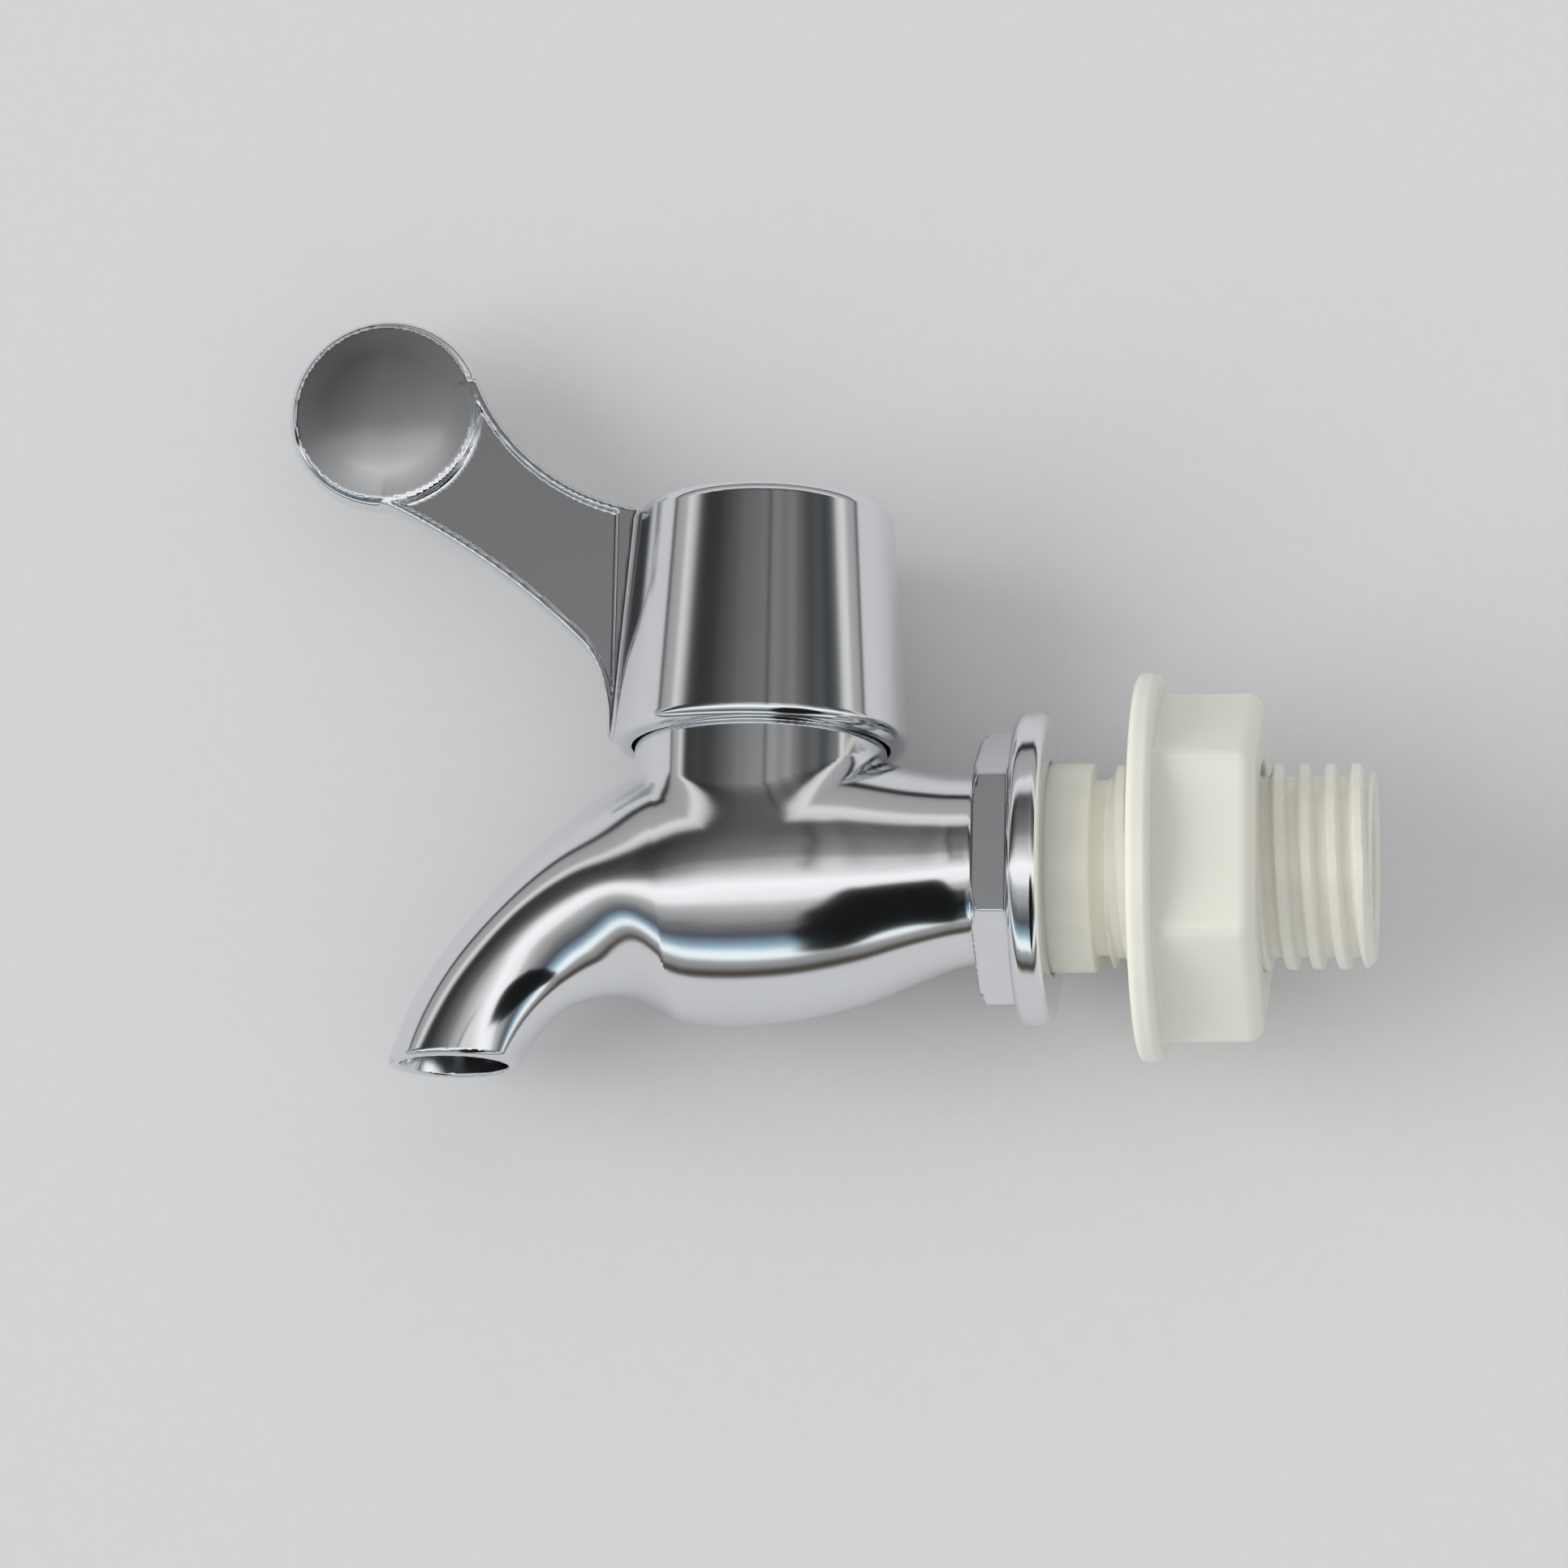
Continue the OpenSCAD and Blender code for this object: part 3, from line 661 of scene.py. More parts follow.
@dataclass
class TapBody:
    """The chromed moulding: spout, valve chamber, neck, spanner collar and wall flange.

    Sizes are in millimetres, and follow the part's own.
    """

    line: CentreLine = field(default_factory=CentreLine)
    valve_x: float = -22.85
    radii: tuple[float, ...] = (7.2, 9.85, 10.6, 9.85, 7.1, 5.3, 4.9, 4.9)
    offsets: tuple[float, ...] = (-7, 0, 7, 13, 19, 24)
    neck_r: float = 9.8
    neck_top: float = 13.8
    neck_fillet: float = 0.8
    stop_h: float = 1.6
    stop_inner_r: float = 8.1
    collar_x: float = -5.5
    collar_af: float = 18.7
    flange_r: float = 12.15
    flange_t: float = 2.6
    flange_edge: float = 0.9
    chamber_r: float = 6.5
    chamber_floor: float = -8.6
    gland_r: float = 7.72
    gland_floor: float = 6.31
    socket_r: float = 5.82
    shoulder_r: float = 8.07
    passage_r: float = 3.8
    outlet_r: float = 4.0
    outlet_depth: float = 4.0
    cell: float = 0.34

    def __post_init__(self) -> None:
        """Lays the smooth curve of radii along the centre line."""
        valve_s = (self.line.start_x - self.valve_x) / math.cos(math.radians(self.line.fall))
        places = np.array([0.0, *(valve_s + o for o in self.offsets), self.line.length])
        radii = np.array(self.radii)
        rises = np.zeros(len(radii))
        rises[1:-1] = (radii[2:] - radii[:-2]) / (places[2:] - places[:-2])
        s = np.linspace(0, self.line.length, 48)
        i = np.clip(np.searchsorted(places, s, side="right") - 1, 0, len(places) - 2)
        w = places[i + 1] - places[i]
        t = (s - places[i]) / w
        values = (2 * t**3 - 3 * t**2 + 1) * radii[i] + (t**3 - 2 * t**2 + t) * w * rises[i]
        values += (3 * t**2 - 2 * t**3) * radii[i + 1] + (t**3 - t**2) * w * rises[i + 1]
        for _ in range(2):
            values[1:-1] = (values[:-2] + 2 * values[1:-1] + values[2:]) / 4
        self.curve = SmoothCurve(0.0, s[1], values)

    def spout(self, x: Array, y: Array, z: Array) -> Array:
        """Args:
            x: Places along X.
            y: Places along Y.
            z: Heights.

        Returns:
            Distances to the lofted body, without its neck, collar and flange.
        """
        s, above, _ = self.line.locate(x, z)
        radius, slope = self.curve.at(s)
        skin = (np.hypot(above, y) - radius) / np.sqrt(1 + slope**2)
        skin = np.maximum(skin, -1.5 - s)
        return round_intersection(skin, self.line.mouth[1] - z, 0.45)

    def collar(self, x: Array, y: Array, z: Array) -> Array:
        """Args:
            x: Places along X.
            y: Places along Y.
            z: Heights.

        Returns:
            Distances to the hexagonal collar.
        """
        across = np.maximum(np.abs(y), 0.5 * np.abs(y) + math.cos(math.pi / 6) * np.abs(z)) - self.collar_af / 2
        corner = self.collar_af / 2 / math.cos(math.pi / 6)
        cone = (-2 * (x - self.collar_x - 0.5) + np.hypot(y, z) - corner) / math.sqrt(5)
        prism = round_intersection(across, np.maximum(self.collar_x - x, x + 1.3), 0.12)
        return round_intersection(prism, cone, 0.1)

    def hollow(self, x: Array, y: Array, z: Array) -> Array:
        """Args:
            x: Places along X.
            y: Places along Y.
            z: Heights.

        Returns:
            Distances to the hollow: shank socket, valve chamber, neck bore, passage and outlet.
        """
        bore = np.hypot(y, z)
        valve = np.hypot(x - self.valve_x, y)
        socket = np.maximum(bore - self.socket_r, self.valve_x - x)
        shoulder = np.maximum(bore - self.shoulder_r, -0.6 - x)
        chamber = np.maximum(valve - self.chamber_r, np.maximum(self.chamber_floor - z, z - self.gland_floor))
        gland = np.maximum(valve - self.gland_r, self.gland_floor - z)
        place, _, turn = self.line.locate(x, z)
        ring = np.hypot(np.hypot(x - self.line.centre[0], z - self.line.centre[1]) - self.line.bend_r, y)
        turn = np.where(turn > math.pi * 1.5, turn - 2 * math.pi, turn)
        ends = np.maximum(math.radians(self.line.fall - 10) - turn, turn - math.radians(self.line.mouth_fall))
        passage = np.maximum(ring - self.passage_r, ends * self.line.bend_r)
        tilt = math.radians(90 - self.line.mouth_fall)
        mx, mz = x - self.line.mouth[0], z - self.line.mouth[1]
        up = mx * math.sin(tilt) + mz * math.cos(tilt)
        aside = np.hypot(mx * math.cos(tilt) - mz * math.sin(tilt), y)
        outlet = np.maximum(aside - self.outlet_r, np.maximum(-3 - up, up - self.outlet_depth))
        return np.minimum.reduce([socket, shoulder, chamber, gland, passage, outlet])

    def distance(self, points: Array) -> Array:
        """Args:
            points: Points in millimetres.

        Returns:
            Their distances to the body.
        """
        x, y, z = points.T
        valve = np.hypot(x - self.valve_x, y)
        neck = np.maximum(round_intersection(valve - self.neck_r, z - self.neck_top, 0.3), -z)
        turn = np.degrees(np.arctan2(y, x - self.valve_x))
        off = np.abs((turn - 45 + 180) % 360 - 180)
        window = np.radians(54.5 - off) * valve
        rim = np.maximum.reduce([valve - self.neck_r, self.stop_inner_r - valve, window, 12 - z])
        rim = np.maximum(rim, z - self.neck_top - self.stop_h)
        solid = round_union(self.spout(x, y, z), neck, self.neck_fillet)
        solid = round_union(solid, self.collar(x, y, z), 0.25)
        flange = disc(np.hypot(y, z), x, self.flange_r, -self.flange_t, 0, self.flange_edge)
        solid = np.minimum(round_union(solid, flange, 0.25), rim)
        return round_intersection(solid, -self.hollow(x, y, z), 0.2)

    def build(self) -> bpy.types.Object:
        """Returns:
        The finished piece, on its body.
        """
        net = SurfaceNet(self.distance, (-51.5, -12.2, -15.5), (0, 12.2, 15.5), self.cell)
        piece = mesh_object("chrome_body", *net.build())
        Finishes.CHROME.dress(piece)
        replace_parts(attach(piece, "tap"), "tap_body")
        return piece


# ---------------------------------------------------------------- the lever


@dataclass
class LeverHandle:
    """The chromed lever: a tapered cap, a webbed arm and a round domed paddle.

    Sizes are in millimetres, and follow the part's own.
    """

    valve_x: float = -22.85
    cap_r: float = 11.45
    cap_draft: float = 0.08
    cap_base: float = 9.5
    cap_top: float = 28.7
    lip_r: float = 1.1
    edge_r: float = 1.0
    skirt_r: float = 10.0
    skirt_top: float = 15.7
    roof: float = 1.6
    wall: float = 2.0
    boss_r: float = 5.6
    boss_base: float = 17.7
    socket_r: float = 3.7
    socket_top: float = 26.4
    paddle: tuple[float, float] = (-53.2, 36.9)
    paddle_r: float = 7.7
    paddle_edge: float = 0.9
    dome: float = 0.6
    half: float = 1.3
    upper_r: float = 17.5
    lower_r: float = 60.0
    root_x: float = -34.8
    root_z: float = 15.6
    root_r: float = 2.2
    rim_w: float = 0.65
    web_recess: float = 0.45
    cell: float = 0.25

    def __post_init__(self) -> None:
        """Works out the circles that bound the arm."""
        px, pz = self.paddle
        top = self.cap_top - 0.1 + self.upper_r
        self.upper = (px + math.sqrt((self.paddle_r + self.upper_r) ** 2 - (top - pz) ** 2), top)
        a, b = np.array([px + 0.6, pz - self.paddle_r]), np.array([self.root_x, self.root_z])
        run = b - a
        across = np.array([run[1], -run[0]]) / np.hypot(*run)
        middle = (a + b) / 2 + across * math.sqrt(self.lower_r**2 - np.hypot(*run) ** 2 / 4)
        self.lower = (float(middle[0]), float(middle[1]))

    def cap(self, x: Array, y: Array, z: Array) -> Array:
        """Args:
            x: Places along X.
            y: Places along Y.
            z: Heights.

        Returns:
            Distances to the cap, as if solid.
        """
        radial = np.hypot(x - self.valve_x, y)
        wall = self.cap_r - self.cap_draft * (z - self.cap_base - self.lip_r)
        side = (radial - wall) / math.hypot(1, self.cap_draft)
        return round_intersection(
            round_intersection(side, self.cap_base - z, self.lip_r), z - self.cap_top, self.edge_r
        )

    def cap_hollow(self, x: Array, y: Array, z: Array) -> Array:
        """Args:
            x: Places along X.
            y: Places along Y.
            z: Heights.

        Returns:
            Distances to the hollow in the cap, round its splined boss.
        """
        radial = np.hypot(x - self.valve_x, y)
        skirt = np.maximum(radial - self.skirt_r, z - self.skirt_top)
        wall = self.cap_r - self.cap_draft * (z - self.cap_base - self.lip_r) - self.wall
        crown = np.maximum(radial - wall, np.maximum(z - self.cap_top + self.roof, self.skirt_top - 0.1 - z))
        boss = np.maximum(radial - self.boss_r, self.boss_base - z)
        crown = round_intersection(crown, -boss, 0.2)
        turn = np.arctan2(y, x - self.valve_x)
        teeth = self.socket_r + 0.25 * np.clip(1.7 * np.cos(12 * turn), -1, 1)
        socket = np.maximum(0.8 * (radial - teeth), np.maximum(z - self.socket_top, 14 - z))
        turn_off = np.abs(np.degrees(turn))
        lug = np.maximum.reduce([radial - 10.4, 8.1 - radial, np.radians(turn_off - 8) * radial, 14.0 - z])
        return np.maximum(np.minimum(np.minimum(skirt, crown), socket), -lug)

    def arm(self, x: Array, y: Array, z: Array) -> Array:
        """Args:
            x: Places along X.
            y: Places along Y.
            z: Heights.

        Returns:
            Distances to the arm with its recessed web.
        """
        upper_away = np.hypot(x - self.upper[0], z - self.upper[1])
        lower_away = np.hypot(x - self.lower[0], z - self.lower[1])
        above = np.where(x > self.upper[0], z - self.cap_top + 0.1, self.upper_r - upper_away)
        below = round_union(self.lower_r - lower_away, self.root_x - x, self.root_r)
        below = np.maximum(below, self.cap_base + self.lip_r - z)
        px, pz = self.paddle
        ux, uz = np.array(self.upper) - self.paddle
        lean = (-(x - px) * uz + (z - pz) * ux) / math.hypot(ux, uz)
        left = np.where(z > pz, lean, px - x)
        outline = np.maximum.reduce([above, below, left, x - self.valve_x])
        plate = round_intersection(outline, np.abs(y) - self.half, 0.3)
        pocket = np.maximum.reduce([
            self.upper_r + self.rim_w - upper_away,
            round_union(self.lower_r - lower_away, self.root_x - x, self.root_r) + self.rim_w,
            self.paddle_r - 0.3 - np.hypot(x - px, z - pz),
            x - self.root_x - 0.3,
        ])
        deep = round_intersection(pocket, self.half - self.web_recess - np.abs(y), 0.15)
        return round_intersection(plate, -deep, 0.15)

    def pad(self, x: Array, y: Array, z: Array) -> Array:
        """Args:
            x: Places along X.
            y: Places along Y.
            z: Heights.

        Returns:
            Distances to the round paddle with its two domed faces.
        """
        radial = np.hypot(x - self.paddle[0], z - self.paddle[1])
        rim = disc(radial, y, self.paddle_r, -self.half, self.half, self.paddle_edge)
        flat = self.paddle_r - self.paddle_edge
        ball = (flat**2 + self.dome**2) / (2 * self.dome)
        faces = np.hypot(radial, np.abs(y) - self.half - self.dome + ball) - ball
        return round_union(rim, np.maximum(faces, radial - flat - 0.1), 0.3)

    def distance(self, points: Array) -> Array:
        """Args:
            points: Points in millimetres.

        Returns:
            Their distances to the lever.
        """
        x, y, z = points.T
        solid = round_union(self.cap(x, y, z), self.arm(x, y, z), 0.5)
        solid = round_union(solid, self.pad(x, y, z), 0.25)
        return round_intersection(solid, -self.cap_hollow(x, y, z), 0.2)

    def build(self) -> bpy.types.Object:
        """Returns:
        The finished piece, on its body.
        """
        net = SurfaceNet(self.distance, (-61.0, -11.5, 9.4), (-11.3, 11.5, 44.7), self.cell)
        piece = mesh_object("chrome_lever", *net.build())
        Finishes.CHROME.dress(piece)
        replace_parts(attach(piece, "handle"), "lever_handle")
        return piece


# ---------------------------------------------------------------- the plastic pieces


@dataclass
class FixingNut:
    """The cream flanged hexagonal nut behind the wall.

    Sizes are in millimetres, and follow the part's own.
    """

    start: float = 6.7
    length: float = 9.6
    flange_r: float = 14.95
    flange_t: float = 1.85
    across: float = 23.8
    corner_r: float = 1.5
    end_r: float = 1.3
    turn: float = 4.0
    bore_r: float = 7.98
    cell: float = 0.25

    def hexagon(self, y: Array, z: Array) -> Array:
        """Args:
            y: Places along Y.
            z: Heights.

        Returns:
            Distances to the rounded hexagon.
        """
        a = math.radians(self.turn)
        u = np.abs(-y * math.sin(a) + z * math.cos(a))
        v = np.abs(y * math.cos(a) + z * math.sin(a))
        apothem = self.across / 2 - self.corner_r
        cut = 2 * np.minimum(-math.cos(math.pi / 6) * u + 0.5 * v, 0)
        u, v = u + cut * math.cos(math.pi / 6), v - cut * 0.5
        reach = apothem * math.tan(math.pi / 6)
        u = u - np.clip(u, -reach, reach)
        return np.hypot(u, v - apothem) * np.sign(v - apothem) - self.corner_r

    def distance(self, points: Array) -> Array:
        """Args:
            points: Points in millimetres.

        Returns:
            Their distances to the nut.
        """
        x, y, z = points.T
        radial = np.hypot(y, z)
        end = self.start + self.length
        flange = disc(radial, x, self.flange_r, self.start, self.start + self.flange_t, self.flange_t / 3)
        prism = round_intersection(self.hexagon(y, z), x - end, self.end_r)
        prism = np.maximum(prism, self.start + 0.5 - x)
        return round_intersection(round_union(flange, prism, 0.35), self.bore_r - radial, 0.3)

    def build(self) -> bpy.types.Object:
        """Returns:
        The finished piece, on its body.
        """
        net = SurfaceNet(self.distance, (self.start, -15, -15), (self.start + self.length, 15, 15), self.cell)
        piece = mesh_object("flanged_nut", *net.build())
        Finishes.NATURAL_PLASTIC.dress(piece)
        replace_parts(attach(piece, "nut"), "fixing_nut")
        return piece


@dataclass
class ScrewThread:
    """Geometry Nodes that cut a helical thread into a turned blank.

    The blank carries the attribute "screw", 1 where the thread may be cut.

    Attributes:
        pitch: Rise in one turn, in metres.
        depth: Depth of the thread, in metres.
        crest: Radius of the blank, in metres.
        start: Where the thread's first turn would start, in metres.
        phase: Turn of the first crest, in radians.
    """

    pitch: float = 2 * MM
    depth: float = 0.95 * MM
    crest: float = 7.9 * MM
    start: float = -0.18 * MM
    phase: float = math.radians(40)

    def tree(self, material: bpy.types.Material) -> bpy.types.GeometryNodeTree:
        """Args:
            material: The material that the result carries.

        Returns:
            The node tree, with its named inputs.
        """
        tree = bpy.data.node_groups.new("ScrewThread", "GeometryNodeTree")
        sides = tree.interface
        sides.new_socket("Geometry", in_out="INPUT", socket_type="NodeSocketGeometry")
        for name in ("Pitch", "Depth", "Crest", "Start", "Phase"):
            sides.new_socket(name, in_out="INPUT", socket_type="NodeSocketFloat")
        sides.new_socket("Geometry", in_out="OUTPUT", socket_type="NodeSocketGeometry")
        graph = Graph(tree)
        given = graph.node("NodeGroupInput")
        parts = graph.node("ShaderNodeSeparateXYZ", None, {0: graph.node("GeometryNodeInputPosition")})
        x, y, z = parts, parts.other(1), parts.other(2)
        turns = (graph.math("ARCTAN2", z, y) - given.other("Phase")) / math.tau
        wave = (x - given.other("Start")) / given.other("Pitch") - turns
        swell = graph.math("COSINE", (wave - 0.625) * math.tau) * 0.8 + 0.5
        height = graph.math("ADD", swell, 0.0, clamp=True)
        height = height * height * (3.0 - 2.0 * height)
        mask = graph.node("GeometryNodeInputNamedAttribute", {"data_type": "FLOAT"}, {"Name": "screw"})
        cut = given.other("Depth") * (1.0 - height) * mask
        shrink = 1.0 - cut / given.other("Crest")
        moved = graph.node("ShaderNodeCombineXYZ", None, {0: x, 1: y * shrink, 2: z * shrink})
        inputs = {"Geometry": given.other("Geometry"), "Position": moved}
        shaped = graph.node("GeometryNodeSetPosition", None, inputs)
        real = graph.node("GeometryNodeRealizeInstances", None, {0: shaped})
        dressed = graph.node("GeometryNodeSetMaterial", None, {"Geometry": real, "Material": material})
        graph.node("NodeGroupOutput", None, {"Geometry": dressed})
        return tree

    def cut(self, blank: bpy.types.Object, material: bpy.types.Material) -> bpy.types.Mesh:
        """Args:
            blank: The turned blank.
            material: The material that the result carries.

        Returns:
            The threaded mesh.
        """
        tree = self.tree(material)
        modifier = blank.modifiers.new("screw_thread", "NODES")
        modifier.node_group = tree
        names = {item.name: item.identifier for item in tree.interface.items_tree if item.in_out == "INPUT"}
        given = {
            "Pitch": self.pitch, "Depth": self.depth, "Crest": self.crest, "Start": self.start, "Phase": self.phase
        }
        for name, number in given.items():
            modifier[names[name]] = number
        graph = bpy.context.evaluated_depsgraph_get()
        mesh = bpy.data.meshes.new_from_object(blank.evaluated_get(graph), depsgraph=graph)
        blank.modifiers.clear()
        return mesh


@dataclass
class ThreadedShank:
    """The cream hollow shank: plain part, relief, screw thread, and the spigot inside the body.

    Sizes are in millimetres, and follow the part's own.
    """

    radius: float = 8.05
    plain: float = 3.4
    length: float = 24.8
    thread_start: float = 4.5
    relief_r: float = 6.75
    crest_r: float = 7.9
    chamfer: float = 0.6
    bore_r: float = 5.0
    port_r: float = 3.9
    spigot_r: float = 5.8
    spigot: float = 12.3
    groove_at: float = -6.15
    groove_half: float = 0.75
    groove_r: float = 4.68
    sides: int = 128
    step: float = 0.11

    def profile(self) -> list[tuple[float, float, float]]:
        """Returns:
        The blank's outline: place, radius, and how far the thread may cut, from 0 to 1.
        """
        groove = [(self.groove_at - self.groove_half, self.spigot_r), (self.groove_at - self.groove_half, self.groove_r)]
        groove += [(self.groove_at + self.groove_half, self.groove_r), (self.groove_at + self.groove_half, self.spigot_r)]
        outer = [(-self.spigot, self.port_r + 0.2), (-self.spigot, self.spigot_r - 0.2), (-self.spigot + 0.2, self.spigot_r)]
        outer += groove + [(-0.58, self.spigot_r), (-0.58, self.radius - 0.15), (-0.43, self.radius)]
        outer += [(self.plain - 0.25, self.radius), (self.plain - 0.07, self.radius - 0.07)]
        outer += [(self.plain, self.radius - 0.25), (self.plain + 0.02, self.relief_r + 0.2)]
        outer += [(self.plain + 0.2, self.relief_r), (self.thread_start - 0.1, self.relief_r)]
        result = [(x, r, 0.0) for x, r in outer]
        start, end = self.thread_start, self.length - self.chamfer
        rows = int(round((end - start) / self.step))
        for i in range(rows + 1):
            x = start + (end - start) * i / rows
            rise = min(1.0, (x - start + 0.05) / 0.35)
            result.append((x, self.relief_r + 0.2 + (self.crest_r - self.relief_r - 0.2) * rise, rise))
        for i in (1, 2, 3, 4):
            t = i / 4
            result.append((end + self.chamfer * t, self.crest_r - self.chamfer * t, 1.0 - t))
        inner = [(self.length, self.bore_r + 0.3), (self.length - 0.3, self.bore_r), (0.0, self.bore_r)]
        inner += [(0.0, self.port_r), (0.2 - self.spigot, self.port_r)]
        return result + [(x, r, 0.0) for x, r in inner]

    def blank(self) -> bpy.types.Object:
        """Returns:
        The turned blank, with its attribute "screw".
        """
        outline = self.profile()
        turn = np.arange(self.sides) * math.tau / self.sides
        rings = [np.column_stack([np.full(self.sides, x), r * np.cos(turn), r * np.sin(turn)]) for x, r, _ in outline]
        n, m = self.sides, len(outline)
        faces = [
            (i * n + k, ((i + 1) % m) * n + k, ((i + 1) % m) * n + (k + 1) % n, i * n + (k + 1) % n)
            for i in range(m)
            for k in range(n)
        ]
        faces = [face[::-1] for face in faces]
        made = mesh_object("screw_shank", np.concatenate(rings), faces)
        screw = made.data.attributes.new("screw", "FLOAT", "POINT")
        screw.data.foreach_set("value", np.repeat([mask for _, _, mask in outline], n))
        return made

    def build(self) -> bpy.types.Object:
        """Returns:
        The finished piece, on its body.
        """
        piece = self.blank()
        material = Finishes.NATURAL_PLASTIC.value.material()
        piece.data = ScrewThread().cut(piece, material)
        piece.data.attributes.remove(piece.data.attributes["screw"])
        piece.data.polygons.foreach_set("use_smooth", np.ones(len(piece.data.polygons), bool))
        piece.data.set_sharp_from_angle(angle=math.radians(50))
        Finishes.NATURAL_PLASTIC.dress(piece)
        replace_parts(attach(piece, "tap"), "threaded_shank")
        return piece


@dataclass
class ValveParts:
    """The valve's inner pieces, which keep the frame's own shapes.

    Attributes:
        finishes: Each node's finish.
    """

    finishes: dict[str, Finishes] = field(
        default_factory=lambda: {
            "valve_plug": Finishes.BEARING_PLASTIC,
            "thrust_washer": Finishes.BEARING_PLASTIC,
            "gland_nut": Finishes.BRASS,
            "inlet_seal": Finishes.CLEAR_RUBBER,
            "shank_o_ring": Finishes.BLACK_RUBBER,
            "plug_o_ring_upper": Finishes.BLACK_RUBBER,
            "plug_o_ring_lower": Finishes.BLACK_RUBBER,
        }
    )

    def dress(self) -> None:
        """Gives each node its finish."""
        for name, finish in self.finishes.items():
            finish.dress(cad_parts[name])
            LOG.info("%s dressed as %s", name, finish.value.name)


# ---------------------------------------------------------------- the studio


@dataclass
class Eye:
    """The camera, which looks up at the tap a little from below.

    Attributes:
        azimuth: Its bearing round the tap, in degrees.
        elevation: Its height, in degrees.
        roll: Its roll, in degrees.
        away: Its distance, in metres.
        target: What it looks at, in metres.
        lens: Its focal length, in millimetres.
    """

    azimuth: float = 7.4
    elevation: float = -13.4
    roll: float = 1.25
    away: float = 0.6
    target: Colour = (-0.021, 0.0, 0.00685)
    lens: float = 177.77

    def axes(self) -> tuple[Vector, Vector, Vector]:
        """Returns:
        The camera's right, up and back directions.
        """
        a, e, r = (math.radians(v) for v in (self.azimuth, self.elevation, self.roll))
        back = Vector((math.sin(a) * math.cos(e), -math.cos(a) * math.cos(e), math.sin(e)))
        right = Vector((math.cos(a), math.sin(a), 0.0))
        up = back.cross(right)
        return right * math.cos(r) + up * math.sin(r), up * math.cos(r) - right * math.sin(r), back

    def build(self) -> bpy.types.Object:
        """Returns:
        The scene's camera.
        """
        right, up, back = self.axes()
        data = bpy.data.cameras.new("camera")
        data.lens = self.lens
        data.sensor_width = 36.0
        data.clip_start, data.clip_end = 0.01, 20.0
        camera = bpy.data.objects.new("camera", data)
        place = Vector(self.target) + back * self.away
        camera.matrix_world = Matrix.Translation(place) @ Matrix((right, up, back)).transposed().to_4x4()
        bpy.context.scene.collection.objects.link(camera)
        bpy.context.scene.camera = camera
        return camera


@dataclass
class Backdrop:
    """The pale sheet behind the tap.

    Attributes:
        azimuth: The bearing of its face, in degrees.
        touch: A point on it, in metres.
        half: Half its width, in metres.
        shade: Its linear colour.
    """

    azimuth: float = 6.6
    touch: Colour = (0.0076, 0.0152, 0.0)
    half: float = 0.2
    shade: Colour = field(default_factory=lambda: linear(226, 227, 228))

    def material(self) -> bpy.types.Material:
        """Returns:
        A pale matte material, which isn't there from behind.
        """
        made = bpy.data.materials.new("backdrop")
        made.use_nodes = True
        graph = Graph(made.node_tree)
        grain = graph.noise(graph.place(), 900.0, 3.0, 0.6)
        pale = (*self.shade, 1.0)
        colour = graph.mix(graph.step(grain, 0.3, 0.7), tuple(0.985 * v for v in pale[:3]) + (1.0,), pale)
        matte = graph.node("ShaderNodeBsdfDiffuse", None, {"Color": colour})
        behind = graph.node("ShaderNodeNewGeometry", output="Backfacing")
        clear = graph.node("ShaderNodeBsdfTransparent")
        shader = graph.node("ShaderNodeMixShader", None, {0: behind, 1: matte, 2: clear})
        graph.node("ShaderNodeOutputMaterial", None, {"Surface": shader})
        return made

    def build(self) -> bpy.types.Object:
        """Returns:
        The backdrop, which is no part of the tap.
        """
        a = math.radians(self.azimuth)
        side, out = Vector((math.cos(a), math.sin(a), 0)), Vector((math.sin(a), -math.cos(a), 0))
        middle = Vector(self.touch) + side * (-0.03)
        corners = []
        for u, v in ((-1, -1), (1, -1), (1, 1), (-1, 1)):
            corners.append(middle + side * (u * self.half) + Vector((0, 0, v * self.half)))
        face = (0, 1, 2, 3) if (corners[1] - corners[0]).cross(corners[2] - corners[0]).dot(out) > 0 else (3, 2, 1, 0)
        piece = mesh_object("backdrop", np.array([tuple(c) for c in corners]) / MM, [face])
        piece.data.materials.append(self.material())
        return piece


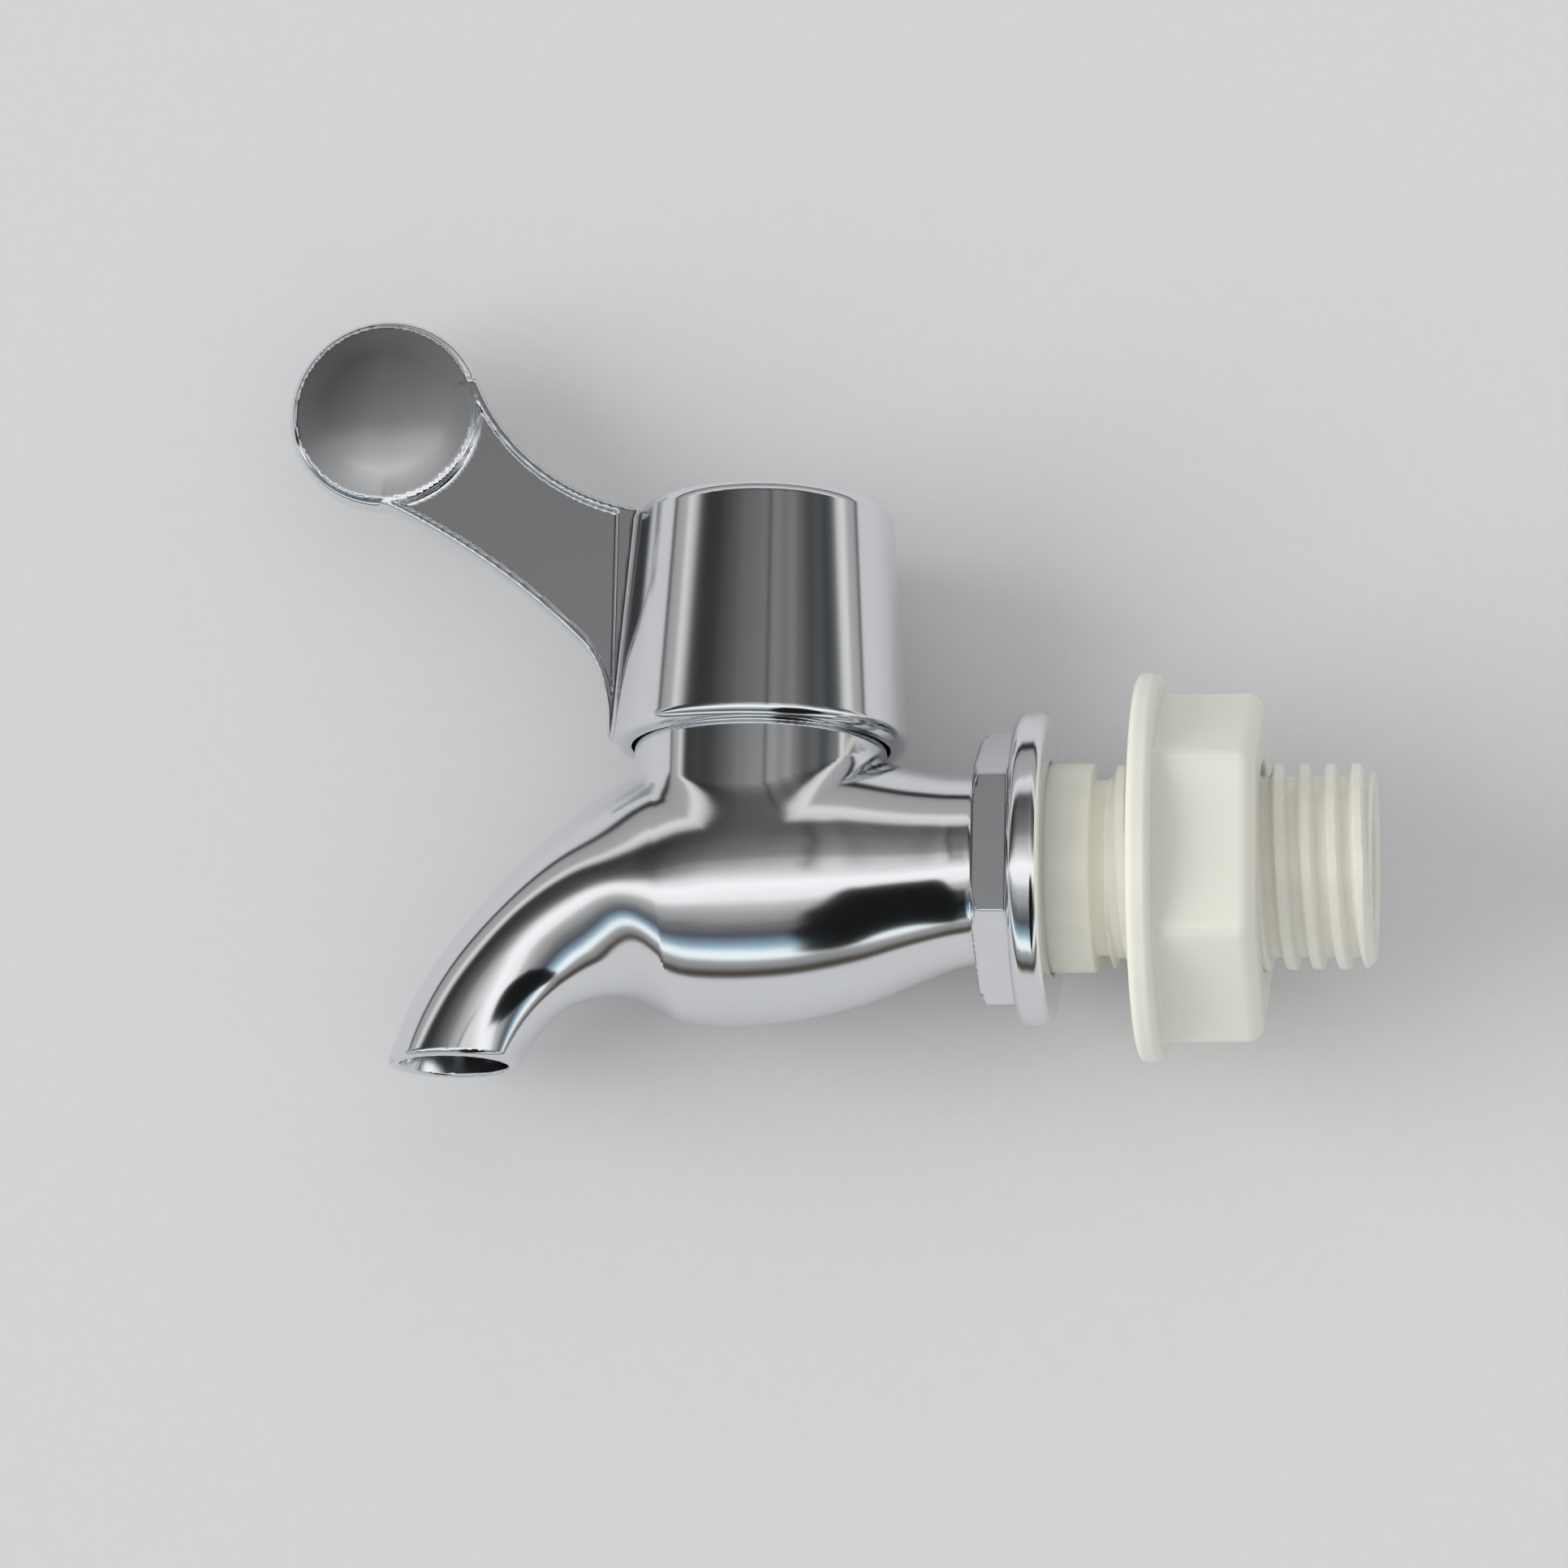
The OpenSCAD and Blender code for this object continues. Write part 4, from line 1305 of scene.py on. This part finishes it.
@dataclass
class Studio:
    """The room: a soft lamp, an even fill, and what the chrome mirrors.

    Attributes:
        eye: The camera, whose axes the room is laid out along.
        key: Strength of the soft lamp.
        fill: Linear colour of the even light.
        chrome: Reflectance to divide out, so that the room's shades show as given.
    """

    eye: Eye
    key: float = 1.6
    fill: float = 0.62
    chrome: float = 0.87

    #: The room over its height at the middle: degrees above the camera's back, and the shade.
    column: tuple[tuple[float, tuple[float, ...]], ...] = (
        (-180, (215,)), (-84, (205,)), (-78, (57, 50, 34)), (-75, (62, 56, 42)), (-70, (139,)), (-65, (150,)),
        (-60, (247, 254, 253)), (-56, (240, 250, 250)), (-50, (148, 178, 197)), (-46, (120, 140, 150)),
        (-40, (76, 80, 93)), (-33, (110,)), (-23, (155,)), (-16, (182,)), (-9, (240,)), (3, (252,)), (8, (230,)),
        (13, (208,)), (21, (181,)), (28, (130,)), (38, (113,)), (47, (94,)), (56, (85,)), (61, (205,)),
        (69, (219,)), (75, (165,)), (90, (158,)), (97, (150,)), (99, (15,)), (104, (20,)), (108, (200,)),
        (180, (215,)),
    )

    #: The room over its width above the middle: degrees to the right of the camera's back, and the shade.
    row: tuple[tuple[float, tuple[float, ...]], ...] = (
        (-180, (205,)), (-125, (200,)), (-112, (194,)), (-100, (89,)), (-89, (14,)), (-80, (22,)), (-67, (91,)),
        (-57, (79,)), (-48, (85,)), (-39, (101,)), (-30, (114,)), (-22, (132,)), (-9, (140,)), (2, (150,)),
        (4.5, (60,)), (6.5, (158,)), (12, (164,)), (19, (147,)), (28, (162,)), (36, (131,)), (45, (102,)),
        (54, (121,)), (62, (92, 98, 100)), (73, (167,)), (84, (227,)), (96, (180, 176, 167)), (109, (210,)),
        (124, (204,)), (180, (210,)),
    )

    def stops(self, bands: Sequence[tuple[float, tuple[float, ...]]], scale: float) -> list[tuple[float, Colour]]:
        """Args:
            bands: Degrees and display shades.
            scale: What the linear colours are multiplied by.

        Returns:
            The ramp's stops.
        """
        result = []
        for degrees, shade in bands:
            colour = linear(*shade)
            result.append(((degrees + 180) / 360, tuple(min(v * scale, 1.3) for v in colour)))
        return result

    def room(self, graph: Graph) -> Value:
        """Args:
            graph: The world's graph.

        Returns:
            The colour of the room in each direction, as the chrome sees it.
        """
        direction = graph.node("ShaderNodeTexCoord", output="Generated")
        right, up, back = (tuple(axis) for axis in self.eye.axes())
        r, u, b = (graph.vector("DOT_PRODUCT", direction, axis, output=1) for axis in (right, up, back))
        warp = graph.noise(direction, 2.2, 2.0, 0.5)
        warp_b = graph.noise(graph.vector("ADD", direction, (3.1, 1.7, 5.2)), 2.6, 2.0, 0.5)
        rise = graph.math("ARCTAN2", u, b) * (180 / math.pi) + (warp - 0.5) * 7.0
        side = graph.math("ARCTAN2", r, b) * (180 / math.pi) + (warp_b - 0.5) * 7.0
        column = graph.ramp((rise + 180.0) / 360.0, self.stops(self.column, 1 / self.chrome))
        scale = 1 / linear(150)[0]
        row = graph.ramp((side + 180.0) / 360.0, self.stops(self.row, 0.25 * scale))
        zone = graph.step(rise, 8.0, 20.0) * graph.step(rise, 66.0, 52.0)
        tint = graph.mix(zone, (0.25, 0.25, 0.25, 1.0), row)
        shaded = graph.vector("SCALE", graph.vector("MULTIPLY", column, tint))
        graph.tree.nodes[-1].inputs["Scale"].default_value = 4.0
        blob = graph.math("SQRT", ((side - 27.0) / 22.0) ** 2.0 + ((rise + 34.0) / 30.0) ** 2.0)
        dark = graph.step(blob + (graph.noise(direction, 5.0, 2.0, 0.5) - 0.5) * 0.3, 1.06, 0.92)
        return graph.mix(dark, shaded, (*linear(12, 14, 14), 1.0))

    def world(self) -> None:
        """Makes the world: the room for the chrome, a white sky for the camera, an even fill for the rest."""
        world = bpy.data.worlds.new("studio")
        bpy.context.scene.world = world
        world.use_nodes = True
        graph = Graph(world.node_tree)
        path = graph.node("ShaderNodeLightPath")
        even = (self.fill, self.fill * 1.0, self.fill * 1.01, 1.0)
        colour = graph.mix(path.other("Is Glossy Ray"), even, self.room(graph))
        colour = graph.mix(path.other("Is Camera Ray"), colour, (*linear(228), 1.0))
        shader = graph.node("ShaderNodeBackground", None, {"Color": colour, "Strength": 1.0})
        graph.node("ShaderNodeOutputWorld", None, {"Surface": shader})

    def lamp(self) -> None:
        """Adds the soft lamp at the left."""
        data = bpy.data.lights.new("key", "SUN")
        data.energy = self.key
        data.angle = math.radians(50)
        data.color = (1.0, 0.995, 0.98)
        lamp = bpy.data.objects.new("key", data)
        lamp.rotation_euler = Vector((-0.81, -0.58, -0.10)).to_track_quat("Z", "Y").to_euler()
        lamp.visible_glossy = False
        bpy.context.scene.collection.objects.link(lamp)

    def build(self) -> None:
        """Makes the room and sets plain colours for the view."""
        self.world()
        self.lamp()
        view = bpy.context.scene.view_settings
        view.view_transform = "Standard"


def main() -> None:
    """Builds the studio and every piece of the tap, in order."""
    logging.basicConfig(level=logging.INFO, format="%(name)s: %(message)s")
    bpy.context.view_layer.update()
    eye = Eye()
    eye.build()
    Backdrop().build()
    Studio(eye).build()
    for part in (TapBody(), LeverHandle(), FixingNut(), ThreadedShank()):
        piece = part.build()
        LOG.info("%s: %d faces", piece.name, len(piece.data.polygons))
    ValveParts().dress()


if __name__ == "__main__":
    main()
